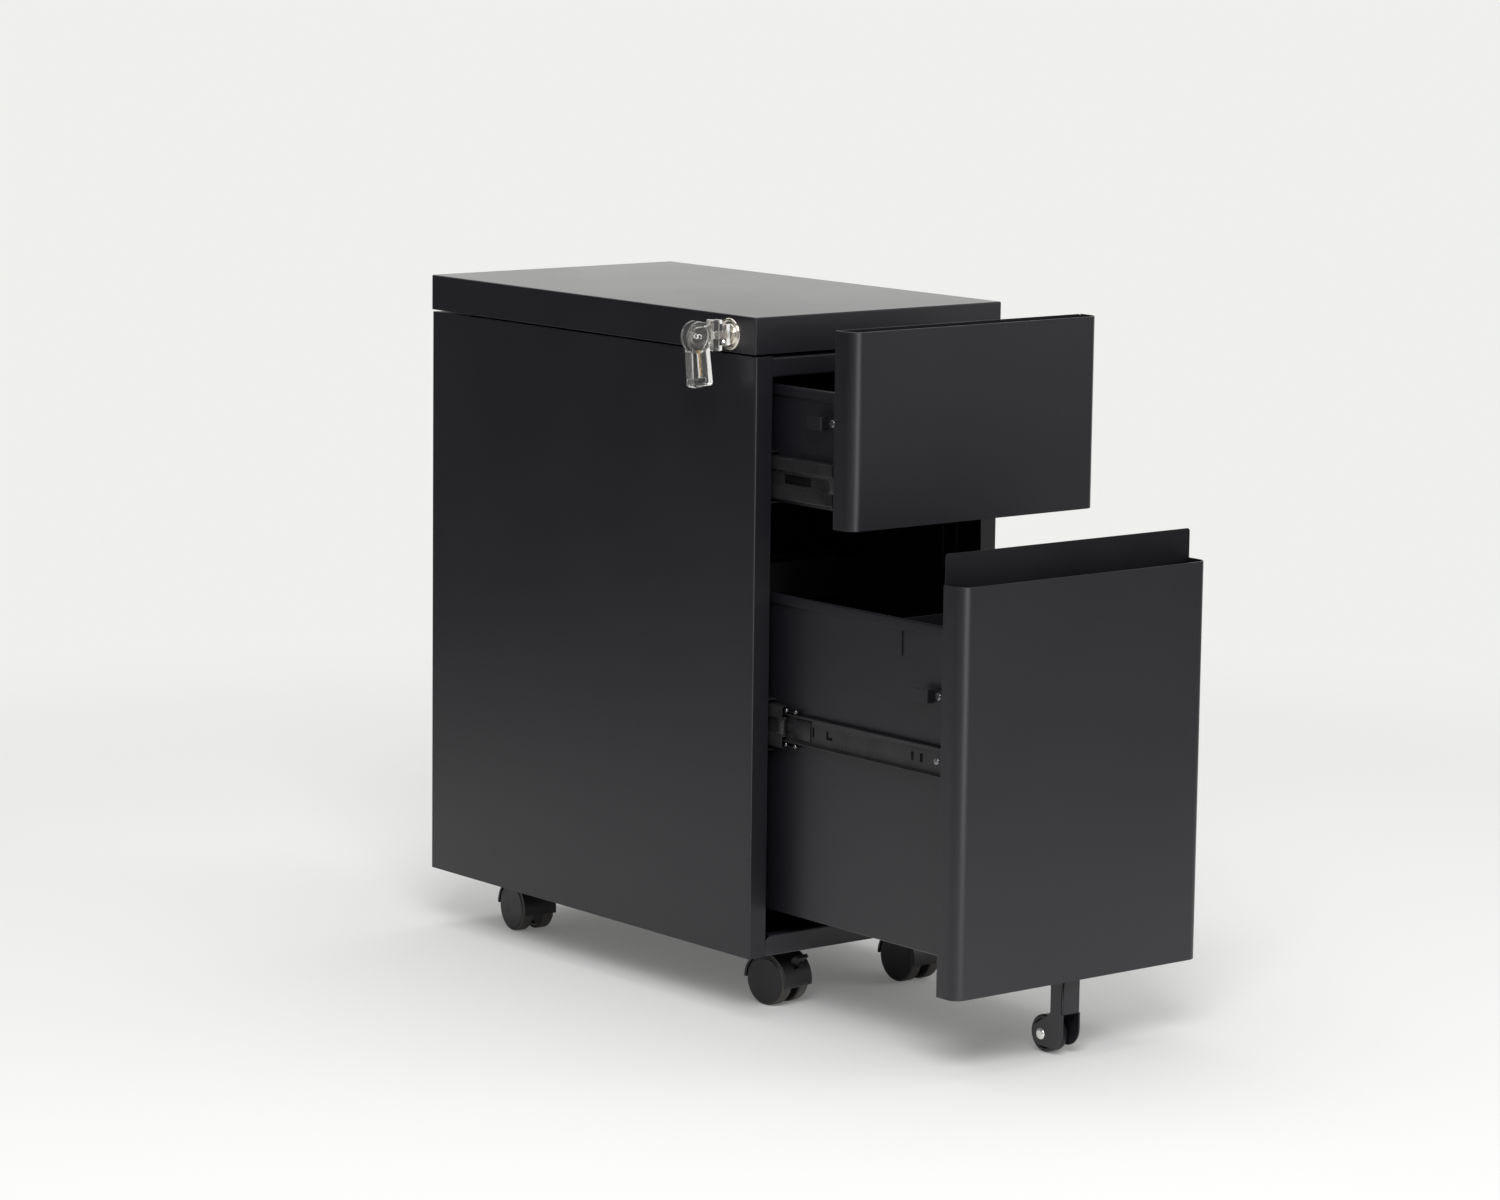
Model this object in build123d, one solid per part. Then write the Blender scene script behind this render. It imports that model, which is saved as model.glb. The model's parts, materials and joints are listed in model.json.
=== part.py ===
from build123d import *

import math
import os

# Mobile filing cabinet with two drawers on ball-bearing slides, hooded casters, an anti-tip wheel and a side
# lock with a folding key. Lengths are in millimetres. The pieces are drawn with x = 0 on the middle plane,
# y = 0 on the front of the carcass and growing towards the back, and z = 0 on the floor. The drawers are drawn
# closed and then pulled out. At the end everything moves so that the origin is under the middle of the whole.

# Carcass
WIDTH = 300.0
DEPTH = 516.0
HEIGHT = 662.0
SHEET = 1.2
BEND = 2.0
UNDERSIDE = 58.0
SIDE_TOP = 625.3
FRONT_FLANGE = 20.0
REAR_FLANGE = 15.0
CAP_OVERHANG = 1.0
CAP_SKIRT = 34.7
CAP_EDGE = 1.5
CAP_RETURN = 17.0
BASE_LIP = 20.6
RAIL_HEIGHT = 18.6
RAIL_DEPTH = 16.0
POST_WIDTH = 30.0
POST_FOOT = 12.0
POST_FOOT_LEVEL = 80.5
POST_STARTS = (55.0, 420.0)
BOSS_PLACES = (60.0, 456.0)
BOSS_RADIUS = 7.0

# Drawers, each as bottom and top of front, top of inner sheet, bottom and top of box, slide height and pull
UPPER = dict(front=(478.8, 659.8), tab=659.8, box=(488.0, 598.3), slide=512.3, hook=569.05, pull=112.4)
LOWER = dict(front=(74.0, 447.5), tab=475.0, box=(100.0, 402.7), slide=279.0, hook=338.15, pull=266.5)
FRONT_THICKNESS = 26.0
FRONT_GAP = 1.0
FRONT_BEND = 12.0
BOX_HALF = 117.0
BOX_BACK = 470.0
HEM_DROP = 9.5
HEM_GAP = 1.4
FILE_BAR_PLACES = (91.9, 421.9)
FILE_BAR_SLOT = (367.8, 390.7)

# Slides
SLIDE_FACE = WIDTH / 2 - FRONT_FLANGE
SLIDE_LENGTH = 450.0
SLIDE_FRONT = 3.0
SLIDE_SCREWS = (70.0, 435.0)
INNER_SCREWS = (40.3, 430.0)
UPPER_MIDDLE_RATIO = 0.77
LOWER_MIDDLE_RATIO = 0.068
OUTER_BALLS = dict(level=21.65, depth=7.5, radius=1.4, spacing=13.0, count=7)
INNER_BALLS = dict(level=16.15, depth=8.6, radius=2.3, spacing=13.6, count=6)
LOWER_INNER_COUNT = 9
CAGE_SHEET = 0.5
CAGE_END = 6.0

# Screws
SCREW_HEAD = 3.5
HEAD_HEIGHT = 1.0
SCREW_SHANK = 1.95
SCREW_LENGTH = 5.0
SCREW_HOLE = 2.0

# Lock and key, on an axis across the cabinet
LOCK_Y = 37.2
LOCK_Z = 643.8
LOCK_RING = 15.0
RING_THICKNESS = 2.5
LOCK_BARREL = 9.3
BARREL_END = -129.0
PLUG_RADIUS = 6.45
PLUG_BORE = 6.5
PLUG_END = -127.5
CAM_REACH = 12.0
CAM_ANGLE = math.radians(45)
CAM_THICKNESS = 2.0
BAR_PLATE = (-124.6, -122.6)
BAR_STRIP = (-141.0, -139.0)
BAR_FRONT = 22.0
BAR_LOW = 340.0
BAR_GUIDES = (600.0, 450.0)
KEY_BLADE = (2.0, 7.0)
KEY_HINGE_X = -191.0
KEY_HUB = 14.0
KEY_TILT = 6.0
HOOK_FOOT = (33.5, 45.5)
HOOK_END = 65.0
HOOK_SCREW_Y = 39.5
HOOK_TAB = 126.8
HOOK_HEIGHT = 12.3
CATCH_GAP = 2.3
CATCH_HEIGHT = 8.0
CATCH_BACK = 41.5

# Casters, each as name, x, y, swivel angle and whether it has a brake
CASTERS = (
    ("front_left", -84.0, 60.0, 8.0, True),
    ("front_right", 84.0, 60.0, 1.0, True),
    ("back_left", -84.0, 458.0, -6.0, False),
    ("back_right", 84.0, 458.0, 12.0, False),
)
WHEEL_RADIUS = 24.0
TRAIL = 20.0
HOOD_RADIUS = 27.3
HOOD_INSIDE = 24.8
HOOD_HALF = 18.5
HOOD_TOP = 52.0
CASTER_PLATE = 40.0
PLATE_THICKNESS = 2.5
PIN_RADIUS = 3.0
RUNNING_GAP = 0.05
LEVER_ANGLE = 140.0
LEVER_PIVOT = 19.0

# Anti-tip wheel under the lower front
TIP_WHEEL_RADIUS = 17.5
TIP_AXLE_Y = 11.7
TIP_AXLE_Z = 17.8

# Values that follow from the ones above
HALF = WIDTH / 2
INSIDE = HALF - SHEET
CAP_HALF = HALF + CAP_OVERHANG
CAP_BOTTOM = HEIGHT - CAP_SKIRT
FRONT_BACK = -FRONT_GAP
FRONT_FACE = FRONT_BACK - FRONT_THICKNESS
PLUG_FACE = -CAP_HALF - RING_THICKNESS - 0.3
CAM_Y = LOCK_Y - CAM_REACH * math.cos(CAM_ANGLE)
CAM_Z = LOCK_Z + CAM_REACH * math.sin(CAM_ANGLE)
SKETCH_PLANES = {"x": Plane.YZ, "y": Plane.XZ, "z": Plane.XY}
DIRECTIONS = {"x": Vector(1, 0, 0), "y": Vector(0, 1, 0), "z": Vector(0, 0, 1)}


# Helpers

def block(x, y, z):
    """Box between the low and high end given for each axis."""
    middle = Pos((x[0] + x[1]) / 2, (y[0] + y[1]) / 2, (z[0] + z[1]) / 2)
    return middle * Box(x[1] - x[0], y[1] - y[0], z[1] - z[0])


def rod(axis, middle, radius, low, high):
    """Cylinder along an axis, from low to high on it; middle is its centre in the plane square to the axis."""
    return prism(Pos(*middle) * Circle(radius), axis, low, high)


def prism(face, axis, low, high):
    """Extrude a face, drawn in the plane square to an axis, from low to high on that axis."""
    direction = DIRECTIONS[axis]
    start = Pos(direction * low)
    return extrude(start * (SKETCH_PLANES[axis] * face), amount=high - low, dir=direction)


def bent_sheet(points, bend, side, thickness=SHEET):
    """Section of a folded sheet: a line of folds along one face, thickened to one side of it."""
    path = FilletPolyline(*points, radius=bend)
    return make_face(offset(path, amount=thickness, side=side))


def outline(points):
    """Flat face inside straight edges from point to point."""
    return make_face(Polyline(*points, close=True))


def mirrored(piece):
    """The same piece on the other side of the cabinet."""
    return mirror(piece, about=Plane.YZ)


def both_sides(piece):
    """A piece and its mirror image, joined."""
    return piece + mirrored(piece)


def group(*pieces):
    """Separate solids kept together."""
    return Compound([solid for piece in pieces for solid in piece.solids()])


def screw(at, towards):
    """Pan-head screw: the head stands on the point at, and the shank runs the other way from it."""
    head = Cylinder(SCREW_HEAD, HEAD_HEIGHT, align=(Align.CENTER, Align.CENTER, Align.MIN))
    head = fillet(head.edges().group_by(Axis.Z)[-1], HEAD_HEIGHT * 0.6)
    drive = Pos(0, 0, HEAD_HEIGHT) * extrude(RegularPolygon(1.4, 6), amount=-HEAD_HEIGHT * 0.7)
    shank = Cylinder(SCREW_SHANK, SCREW_LENGTH, align=(Align.CENTER, Align.CENTER, Align.MAX))
    return Plane(origin=at, z_dir=towards) * (head - drive + shank)


# Carcass

def side_panel():
    """Right side: one sheet with a flange in front, one behind and one on top with two embossed feet."""
    points = [(HALF - FRONT_FLANGE, 0), (HALF, 0), (HALF, DEPTH), (HALF - REAR_FLANGE, DEPTH)]
    panel = prism(bent_sheet(points, BEND, Side.LEFT), "z", UNDERSIDE, SIDE_TOP)
    panel += block((HALF - FRONT_FLANGE, INSIDE), (SHEET, DEPTH - SHEET), (SIDE_TOP - SHEET, SIDE_TOP))
    for y in BOSS_PLACES:
        panel += rod("z", (HALF - 10, y), BOSS_RADIUS, SIDE_TOP, CAP_BOTTOM)
        panel -= rod("z", (HALF - 10, y), SCREW_HOLE, SIDE_TOP - SHEET, CAP_BOTTOM)
    return panel


def left_side_panel():
    """Left side, with a notch in the top flange where the lock bar passes."""
    notch = block((-HALF + 6.5, -HALF + FRONT_FLANGE), (14, 52), (SIDE_TOP - SHEET, SIDE_TOP))
    return mirrored(side_panel()) - notch


def back_panel():
    """Flat back between the rear flanges, with a flange forward along its top."""
    front = DEPTH - 2 * SHEET
    top = SIDE_TOP - SHEET
    sheet = block((-INSIDE + 0.9, INSIDE - 0.9), (front, front + SHEET), (UNDERSIDE + 2, top))
    return sheet + block((-128, 128), (front - 15, front), (top - SHEET, top))


def base_pan():
    """Floor of the cabinet, turned up at the front, back and sides."""
    front, back = 0.3, DEPTH - 2 * SHEET
    lip_half = HALF - FRONT_FLANGE - 0.4
    top = UNDERSIDE + BASE_LIP
    points = [(9, top), (front, top), (front, UNDERSIDE), (back, UNDERSIDE), (back, top)]
    pan = prism(bent_sheet(points, BEND, Side.LEFT), "x", -lip_half, lip_half)
    corner_cut = block((lip_half - 4, lip_half + 4), (front - 1, 12), (top - 4, top + 4))
    corner_cut = Pos(lip_half, 0, top) * Rot(0, 45, 0) * Pos(-lip_half, 0, -top) * corner_cut
    pan -= both_sides(corner_cut)
    wing = block((lip_half, INSIDE - 0.1), (front + BEND, back), (UNDERSIDE, UNDERSIDE + SHEET))
    wing += block((INSIDE - 0.1 - SHEET, INSIDE - 0.1), (8, back - 8), (UNDERSIDE, POST_FOOT_LEVEL - 0.5))
    pan += both_sides(wing)
    for x, y in caster_screw_places():
        pan -= rod("z", (x, y), SCREW_HOLE, UNDERSIDE, UNDERSIDE + SHEET)
    return pan


def top_front_rail():
    """Channel across the top of the opening, welded behind the front flanges."""
    top = SIDE_TOP - SHEET
    low = top - RAIL_HEIGHT
    points = [(RAIL_DEPTH, top), (SHEET, top), (SHEET, low), (RAIL_DEPTH, low)]
    rail = prism(bent_sheet(points, BEND, Side.LEFT), "x", -128, 128)
    return rail + block((-140, 140), (SHEET, 2 * SHEET), (low + BEND, top - BEND))


def top_cap():
    """Shallow lid with rounded edges, open below, with a return inwards along each side."""
    cap = block((-CAP_HALF, CAP_HALF), (0, DEPTH), (CAP_BOTTOM, HEIGHT))
    cap = fillet(cap.edges().filter_by(Axis.Z) + cap.edges().group_by(Axis.Z)[-1], CAP_EDGE)
    inside = CAP_HALF - SHEET
    cap -= block((-inside, inside), (SHEET, DEPTH - SHEET), (CAP_BOTTOM, HEIGHT - SHEET))
    edge = CAP_HALF - CAP_RETURN
    cap += both_sides(block((edge, inside), (SHEET, DEPTH - SHEET), (CAP_BOTTOM, CAP_BOTTOM + SHEET)))
    cap -= block((-HALF + 6.5, -edge), (12, 52), (CAP_BOTTOM, CAP_BOTTOM + SHEET))
    for y in BOSS_PLACES:
        cap -= both_sides(rod("z", (HALF - 10, y), SCREW_HOLE, CAP_BOTTOM, CAP_BOTTOM + SHEET))
    return cap - rod("x", (LOCK_Y, LOCK_Z), LOCK_BARREL + RUNNING_GAP, -CAP_HALF, -inside)


def slide_post(y):
    """Right slide post: a hat section with its feet on the side panel and its web on the slide plane."""
    foot = INSIDE - SHEET
    points = [(foot, y - POST_FOOT), (foot, y), (SLIDE_FACE, y), (SLIDE_FACE, y + POST_WIDTH),
              (foot, y + POST_WIDTH), (foot, y + POST_WIDTH + POST_FOOT)]
    post = prism(bent_sheet(points, BEND, Side.RIGHT), "z", POST_FOOT_LEVEL, SIDE_TOP - 2 * SHEET)
    for drawer in (UPPER, LOWER):
        for screw_y in SLIDE_SCREWS:
            post -= rod("x", (screw_y, drawer["slide"]), SCREW_HOLE, SLIDE_FACE, SLIDE_FACE + SHEET)
    return post


def bar_guides():
    """Two tabs of the left front post, each with a slot that guides the lock bar."""
    guides = []
    for z in BAR_GUIDES:
        tab = block((-146, -132), (18, POST_STARTS[0]), (z, z + SHEET))
        guides.append(tab - block((-141.3, -138.7), (21.5, 32.5), (z, z + SHEET)))
    return guides


def caster_plate():
    """Square plate with the hub and kingpin of a caster, about a swivel axis at x = y = 0."""
    top, low = UNDERSIDE, UNDERSIDE - PLATE_THICKNESS
    plate = prism(RectangleRounded(CASTER_PLATE, CASTER_PLATE, 4), "z", low, top)
    plate += rod("z", (0, 0), 9, HOOD_TOP + 0.3, low)
    plate += rod("z", (0, 0), PIN_RADIUS, HOOD_TOP - 22, low)
    for x in (-14, 14):
        for y in (-14, 14):
            plate -= rod("z", (x, y), SCREW_HOLE, low, top)
    return plate


def caster_screw_places():
    """Centres of the screws through the caster plates."""
    return [(x + dx, y + dy) for _, x, y, _, _ in CASTERS for dx in (-14, 14) for dy in (-14, 14)]


def carcass_screws():
    """Screws of the cap, the slides and the caster plates."""
    screws = []
    for side in (-1, 1):
        for y in BOSS_PLACES:
            screws.append(screw((side * (HALF - 10), y, SIDE_TOP - SHEET), (0, 0, -1)))
        for drawer in (UPPER, LOWER):
            for y in SLIDE_SCREWS:
                screws.append(screw((side * (SLIDE_FACE - SHEET), y, drawer["slide"]), (-side, 0, 0)))
    for x, y in caster_screw_places():
        screws.append(screw((x, y, UNDERSIDE - PLATE_THICKNESS), (0, 0, -1)))
    return screws


# Slides, drawn for the right side; depth d is counted inwards from the slide plane, height h from the middle

def slide_section(points, bend, side, height):
    """Section of a slide member from its folds in depth and height."""
    return bent_sheet([(SLIDE_FACE - d, height + h) for d, h in points], bend, side)


def slide_outer(height):
    """Cabinet member: a channel with a ball race above and below."""
    section = slide_section([(12, 24.5), (0, 24.5), (0, -24.5), (12, -24.5)], BEND, Side.RIGHT, height)
    member = prism(section, "y", SLIDE_FRONT, SLIDE_FRONT + SLIDE_LENGTH)
    for y in SLIDE_SCREWS:
        member -= rod("x", (y, height), SCREW_HOLE, SLIDE_FACE - SHEET, SLIDE_FACE)
    return member


def slide_middle(height):
    """Middle member: a channel with a sunk centre strip, a window in it and a plastic end stop."""
    points = [(12.2, 20), (3.6, 20), (3.6, 8), (6.4, 6.5), (6.4, -6.5), (3.6, -8), (3.6, -20), (12.2, -20)]
    bends = [BEND, 1.5, 1.5, 1.5, 1.5, BEND]
    section = slide_section(points, bends, Side.RIGHT, height)
    member = prism(section, "y", SLIDE_FRONT, SLIDE_FRONT + SLIDE_LENGTH)
    window = (height - 4.5, height + 4.5)
    member -= block((SLIDE_FACE - 8, SLIDE_FACE - 6), (37, 75.6), window)
    stop = block((SLIDE_FACE - 10.3, SLIDE_FACE - 7.6), (SLIDE_FRONT, 20), (height - 8.5, height + 8.5))
    return group(member, stop)


def slide_inner(height):
    """Drawer member: a shallow channel screwed to the side of the box, with the slots of its catch."""
    section = slide_section([(7.2, 13.5), (13, 13.5), (13, -13.5), (7.2, -13.5)], BEND, Side.LEFT, height)
    member = prism(section, "y", SLIDE_FRONT, SLIDE_FRONT + SLIDE_LENGTH)
    web = (SLIDE_FACE - 13, SLIDE_FACE - 13 + SHEET)
    for y in INNER_SCREWS:
        member -= rod("x", (y, height), SCREW_HOLE, *web)
    member -= block(web, (213.3, 216.3), (height - 4.5, height + 4.5))
    member -= block(web, (193, 196), (height - 4, height + 4))
    member -= block(web, (187, 196), (height - 4, height - 1))
    member -= block(web, (72.5, 75.5), (height - 4, height + 4))
    return member - block(web, (59.5, 63.5), (height - 4, height + 4))


def cage_row(height, row, depths, places):
    """Strip of a ball cage at one level and the balls in it."""
    low, high = height - CAGE_SHEET / 2, height + CAGE_SHEET / 2
    ends = (places[0] - CAGE_END, places[-1] + CAGE_END)
    strip = block((SLIDE_FACE - depths[1], SLIDE_FACE - depths[0]), ends, (low, high))
    balls = []
    for y in places:
        strip -= rod("z", (SLIDE_FACE - row["depth"], y), row["radius"] + RUNNING_GAP, low, high)
        balls.append(Pos(SLIDE_FACE - row["depth"], y, height) * Sphere(row["radius"]))
    return strip, balls


def ball_places(row, front, count):
    """Where the balls of a row stand behind the front end of their cage."""
    return [front + CAGE_END + row["spacing"] * i for i in range(count)]


def outer_cage(height, front):
    """Cage between the cabinet member and the middle member: a channel with small balls above and below."""
    row = OUTER_BALLS
    places = ball_places(row, front, row["count"])
    upper, upper_balls = cage_row(height + row["level"], row, (2.5, 10), places)
    lower, lower_balls = cage_row(height - row["level"], row, (2.5, 10), places)
    edge = row["level"] + CAGE_SHEET / 2
    web = block((SLIDE_FACE - 3.2, SLIDE_FACE - 2.5), (places[0] - CAGE_END, places[-1] + CAGE_END),
                (height - edge, height + edge))
    return group(upper + lower + web, *upper_balls, *lower_balls)


def inner_cage(height, front, count):
    """Two strips with larger balls between the middle member and the drawer member."""
    row = INNER_BALLS
    places = ball_places(row, front, count)
    upper, upper_balls = cage_row(height + row["level"], row, (5.6, 11.6), places)
    lower, lower_balls = cage_row(height - row["level"], row, (5.6, 11.6), places)
    return group(upper, lower, *upper_balls, *lower_balls)


# Drawers

def drawer_front(drawer):
    """Outer skin, rounded round its vertical bends, closed below and open above as a finger pull."""
    low, high = drawer["front"]
    points = [(-HALF, FRONT_BACK), (-HALF, FRONT_FACE), (HALF, FRONT_FACE), (HALF, FRONT_BACK)]
    skin = prism(bent_sheet(points, FRONT_BEND, Side.LEFT), "z", low, high)
    floor = block((-INSIDE, INSIDE), (FRONT_FACE + SHEET, FRONT_BACK - SHEET), (low, low + SHEET))
    front_corners = floor.edges().filter_by(Axis.Z).group_by(Axis.Y)[0]
    return skin + fillet(front_corners, FRONT_BEND - SHEET)


def inner_front(drawer):
    """Inner sheet between the flanges of the front; on the lower drawer it stands above it as a tab."""
    half = INSIDE - 0.1
    sheet = block((-half, half), (FRONT_BACK - SHEET, FRONT_BACK), (drawer["front"][0], drawer["tab"]))
    top_corners = sheet.edges().filter_by(Axis.Y).group_by(Axis.Z)[-1]
    return fillet(top_corners, 3)


def drawer_tray(drawer):
    """Sides and bottom of the box from one sheet, hemmed outwards along the top."""
    low, high = drawer["box"]
    leaf = BOX_HALF + HEM_GAP
    left_half = [(-leaf, high - HEM_DROP), (-leaf, high - SHEET), (-BOX_HALF, high - SHEET), (-BOX_HALF, low)]
    right_half = [(-x, z) for x, z in reversed(left_half)]
    hem = HEM_GAP / 2 - 0.01
    section = bent_sheet(left_half + right_half, [hem, hem, BEND, BEND, hem, hem], Side.LEFT)
    tray = prism(section, "y", FRONT_BACK, BOX_BACK)
    wall = (BOX_HALF - SHEET, BOX_HALF)
    for y in INNER_SCREWS:
        tray -= both_sides(rod("x", (y, drawer["slide"]), SCREW_HOLE, *wall))
    return tray - rod("x", (HOOK_SCREW_Y, drawer["hook"]), SCREW_HOLE, -wall[1], -wall[0])


def lower_tray():
    """Lower box, with slots in its sides for the bars that carry hanging files."""
    tray = drawer_tray(LOWER)
    for y in FILE_BAR_PLACES:
        tray -= both_sides(block((BOX_HALF - SHEET, BOX_HALF), (y - 1, y + 1), FILE_BAR_SLOT))
    return tray


def drawer_back(drawer):
    """Back of the box, with a flange forward at each side."""
    half = BOX_HALF - SHEET
    points = [(half, BOX_BACK - 12), (half, BOX_BACK), (-half, BOX_BACK), (-half, BOX_BACK - 12)]
    low, high = drawer["box"]
    return prism(bent_sheet(points, BEND, Side.LEFT), "z", low + SHEET + 1, high - SHEET)


def lock_hook(drawer):
    """Bent strip on the left side of the box that the catch of the lock bar stops."""
    start, jog = HOOK_FOOT
    points = [(-BOX_HALF, start), (-BOX_HALF, jog), (-HOOK_TAB, jog), (-HOOK_TAB, HOOK_END)]
    low = drawer["hook"] - HOOK_HEIGHT / 2
    hook = prism(bent_sheet(points, 1.6, Side.LEFT), "z", low, low + HOOK_HEIGHT)
    return hook - rod("x", (HOOK_SCREW_Y, drawer["hook"]), SCREW_HOLE, -BOX_HALF - SHEET, -BOX_HALF)


def drawer_screws(drawer):
    """Screws of the drawer members and of the lock hook."""
    face = SLIDE_FACE - 13 + SHEET
    screws = [screw((-BOX_HALF - SHEET, HOOK_SCREW_Y, drawer["hook"]), (-1, 0, 0))]
    for side in (-1, 1):
        for y in INNER_SCREWS:
            screws.append(screw((side * face, y, drawer["slide"]), (side, 0, 0)))
    return screws


def file_bar(y):
    """Bar across the lower box with a stiffening fold and a tab through the slot in each side."""
    low, high = FILE_BAR_SLOT
    top = LOWER["box"][1] - 0.2
    front = y - SHEET / 2
    half = BOX_HALF - SHEET - 0.3
    section = bent_sheet([(front + 8, low - 6), (front, low - 6), (front, top)], BEND, Side.RIGHT)
    tab = block((half, BOX_HALF + 1.2), (front, front + SHEET), (low + 0.4, high - 0.4))
    return prism(section, "x", -half, half) + both_sides(tab)


# Lock and key

def lock_housing():
    """Ring on the skirt of the cap and barrel through it, bored for the plug."""
    ring = rod("x", (LOCK_Y, LOCK_Z), LOCK_RING, -CAP_HALF - RING_THICKNESS, -CAP_HALF)
    ring = fillet(ring.edges().group_by(Axis.X)[0], 1.0)
    housing = ring + rod("x", (LOCK_Y, LOCK_Z), LOCK_BARREL, -CAP_HALF, BARREL_END)
    return housing - rod("x", (LOCK_Y, LOCK_Z), PLUG_BORE, -CAP_HALF - RING_THICKNESS, BARREL_END)


def lock_plug():
    """Plug that turns in the housing, with its keyway."""
    width, height = KEY_BLADE
    keyway = block((PLUG_FACE, -133), (LOCK_Y - width / 2 - 0.1, LOCK_Y + width / 2 + 0.1),
                   (LOCK_Z - height / 2 - 0.1, LOCK_Z + height / 2 + 0.1))
    return rod("x", (LOCK_Y, LOCK_Z), PLUG_RADIUS, PLUG_FACE, PLUG_END) - keyway


def lock_cam():
    """Arm on the inner end of the plug, with the pin that drives the lock bar."""
    arm = Pos(LOCK_Y, LOCK_Z) * Circle(7) + Pos(CAM_Y, CAM_Z) * Circle(4.2)
    middle = Pos((LOCK_Y + CAM_Y) / 2, (LOCK_Z + CAM_Z) / 2) * Rot(0, 0, -45)
    arm += middle * Rectangle(CAM_REACH, 8.4)
    cam = prism(arm, "x", PLUG_END, PLUG_END + CAM_THICKNESS)
    return cam + rod("x", (CAM_Y, CAM_Z), 2, PLUG_END + CAM_THICKNESS, BAR_PLATE[1] + 0.6)


def lock_bar():
    """Bar behind the left flange: a slotted plate at the cam, a jog, a strip and a catch for each drawer."""
    jog_low = 630.5
    width = (BAR_FRONT, BAR_FRONT + 10)
    bar = block(BAR_STRIP, width, (BAR_LOW, jog_low + 2))
    bar += block((BAR_STRIP[0], BAR_PLATE[1]), width, (jog_low, jog_low + 2))
    bar += block(BAR_PLATE, (19, 34.5), (jog_low, 656.5))
    bar -= block(BAR_PLATE, (22.6, 31.3), (CAM_Z - 2.7, CAM_Z + 2.7))
    for drawer in (UPPER, LOWER):
        low = drawer["hook"] + HOOK_HEIGHT / 2 + CATCH_GAP
        catch = (low, low + CATCH_HEIGHT)
        bar += block(BAR_STRIP, (BAR_FRONT, CATCH_BACK), catch)
        bar += block((BAR_STRIP[0], -122), (CATCH_BACK - 2, CATCH_BACK), catch)
    return bar


def key_blade():
    """Steel blade from the hinge block into the plug."""
    width, height = KEY_BLADE
    thickness = (LOCK_Y - width / 2, LOCK_Y + width / 2)
    return block((-172, -135), thickness, (LOCK_Z - height / 2, LOCK_Z + height / 2))


def key_block():
    """Clear block on the blade, with a neck, a flange and a tongue that carries the hinge pin."""
    neck = block((-164, -155), (LOCK_Y - 4.5, LOCK_Y + 4.5), (LOCK_Z - 10, LOCK_Z + 10))
    flange = block((-176, -164), (LOCK_Y - 5.5, LOCK_Y + 5.5), (LOCK_Z - 14.5, LOCK_Z + 14.5))
    flange = fillet(flange.edges(), 1.5)
    tongue = outline([(-176, LOCK_Z - 9.5), (-176, LOCK_Z + 9.5), (KEY_HINGE_X, LOCK_Z + 8),
                      (KEY_HINGE_X, LOCK_Z - 8)])
    tongue += Pos(KEY_HINGE_X, LOCK_Z) * Circle(8)
    solid = neck + flange + prism(tongue, "y", LOCK_Y - 2.5, LOCK_Y + 2.5)
    solid += rod("y", (KEY_HINGE_X, LOCK_Z), 2, LOCK_Y - 6, LOCK_Y + 6)
    return solid - key_blade()


def key_handle():
    """Clear folding grip: two cheeks on the hinge pin and a stem with a spring bore and a plain recess."""
    stem = outline([(-9.8, 0), (9.8, 0), (11.2, -46.8), (-11.2, -46.8)])
    stem = fillet(stem.vertices().group_by(Axis.Y)[0], 3)
    grip = prism(stem + Circle(KEY_HUB), "y", -6, 6)
    grip = chamfer(grip.faces().group_by(Axis.Y)[0].edges() + grip.faces().group_by(Axis.Y)[-1].edges(), 0.5)
    grip -= rod("y", (0, 0), 15.5, -2.8, 2.8)
    grip -= rod("y", (0, 0), 2 + RUNNING_GAP, -6, 6)
    grip -= rod("z", (0, 0), 2.6, -38, -10)
    for face_y in (-6, 6):
        grip -= block((-8, 8), (face_y - 0.4, face_y + 0.4), (-44.5, -39.5))
    return key_place() * grip


def key_spring():
    """Spring in the stem of the grip, drawn as the sleeve that its closed coils fill."""
    coils = rod("z", (0, 0), 2, -37, -12.8) - rod("z", (0, 0), 1.3, -37, -12.8)
    return key_place() * coils


def key_place():
    """Where the grip hangs: on the hinge axis, its lower end tilted towards the cabinet."""
    return Pos(KEY_HINGE_X, LOCK_Y, LOCK_Z) * Rot(0, -KEY_TILT, 0)


# Casters, drawn about a swivel axis at x = y = 0 and trailing forwards

def hood_sector(radius):
    """Side view of the hood: from level at the back, over the top, to a little below level in front."""
    centre = (-TRAIL, WHEEL_RADIUS)
    arc = CenterArc(centre, radius, 0, 190)
    return make_face([arc, Line(arc @ 1, centre), Line(centre, arc @ 0)])


def lever_frame():
    """Place on the caster with its first axis pointing out of the wheel centre along the brake lever."""
    return Pos(0, -TRAIL, WHEEL_RADIUS) * Rot(LEVER_ANGLE, 0, 0)


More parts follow.
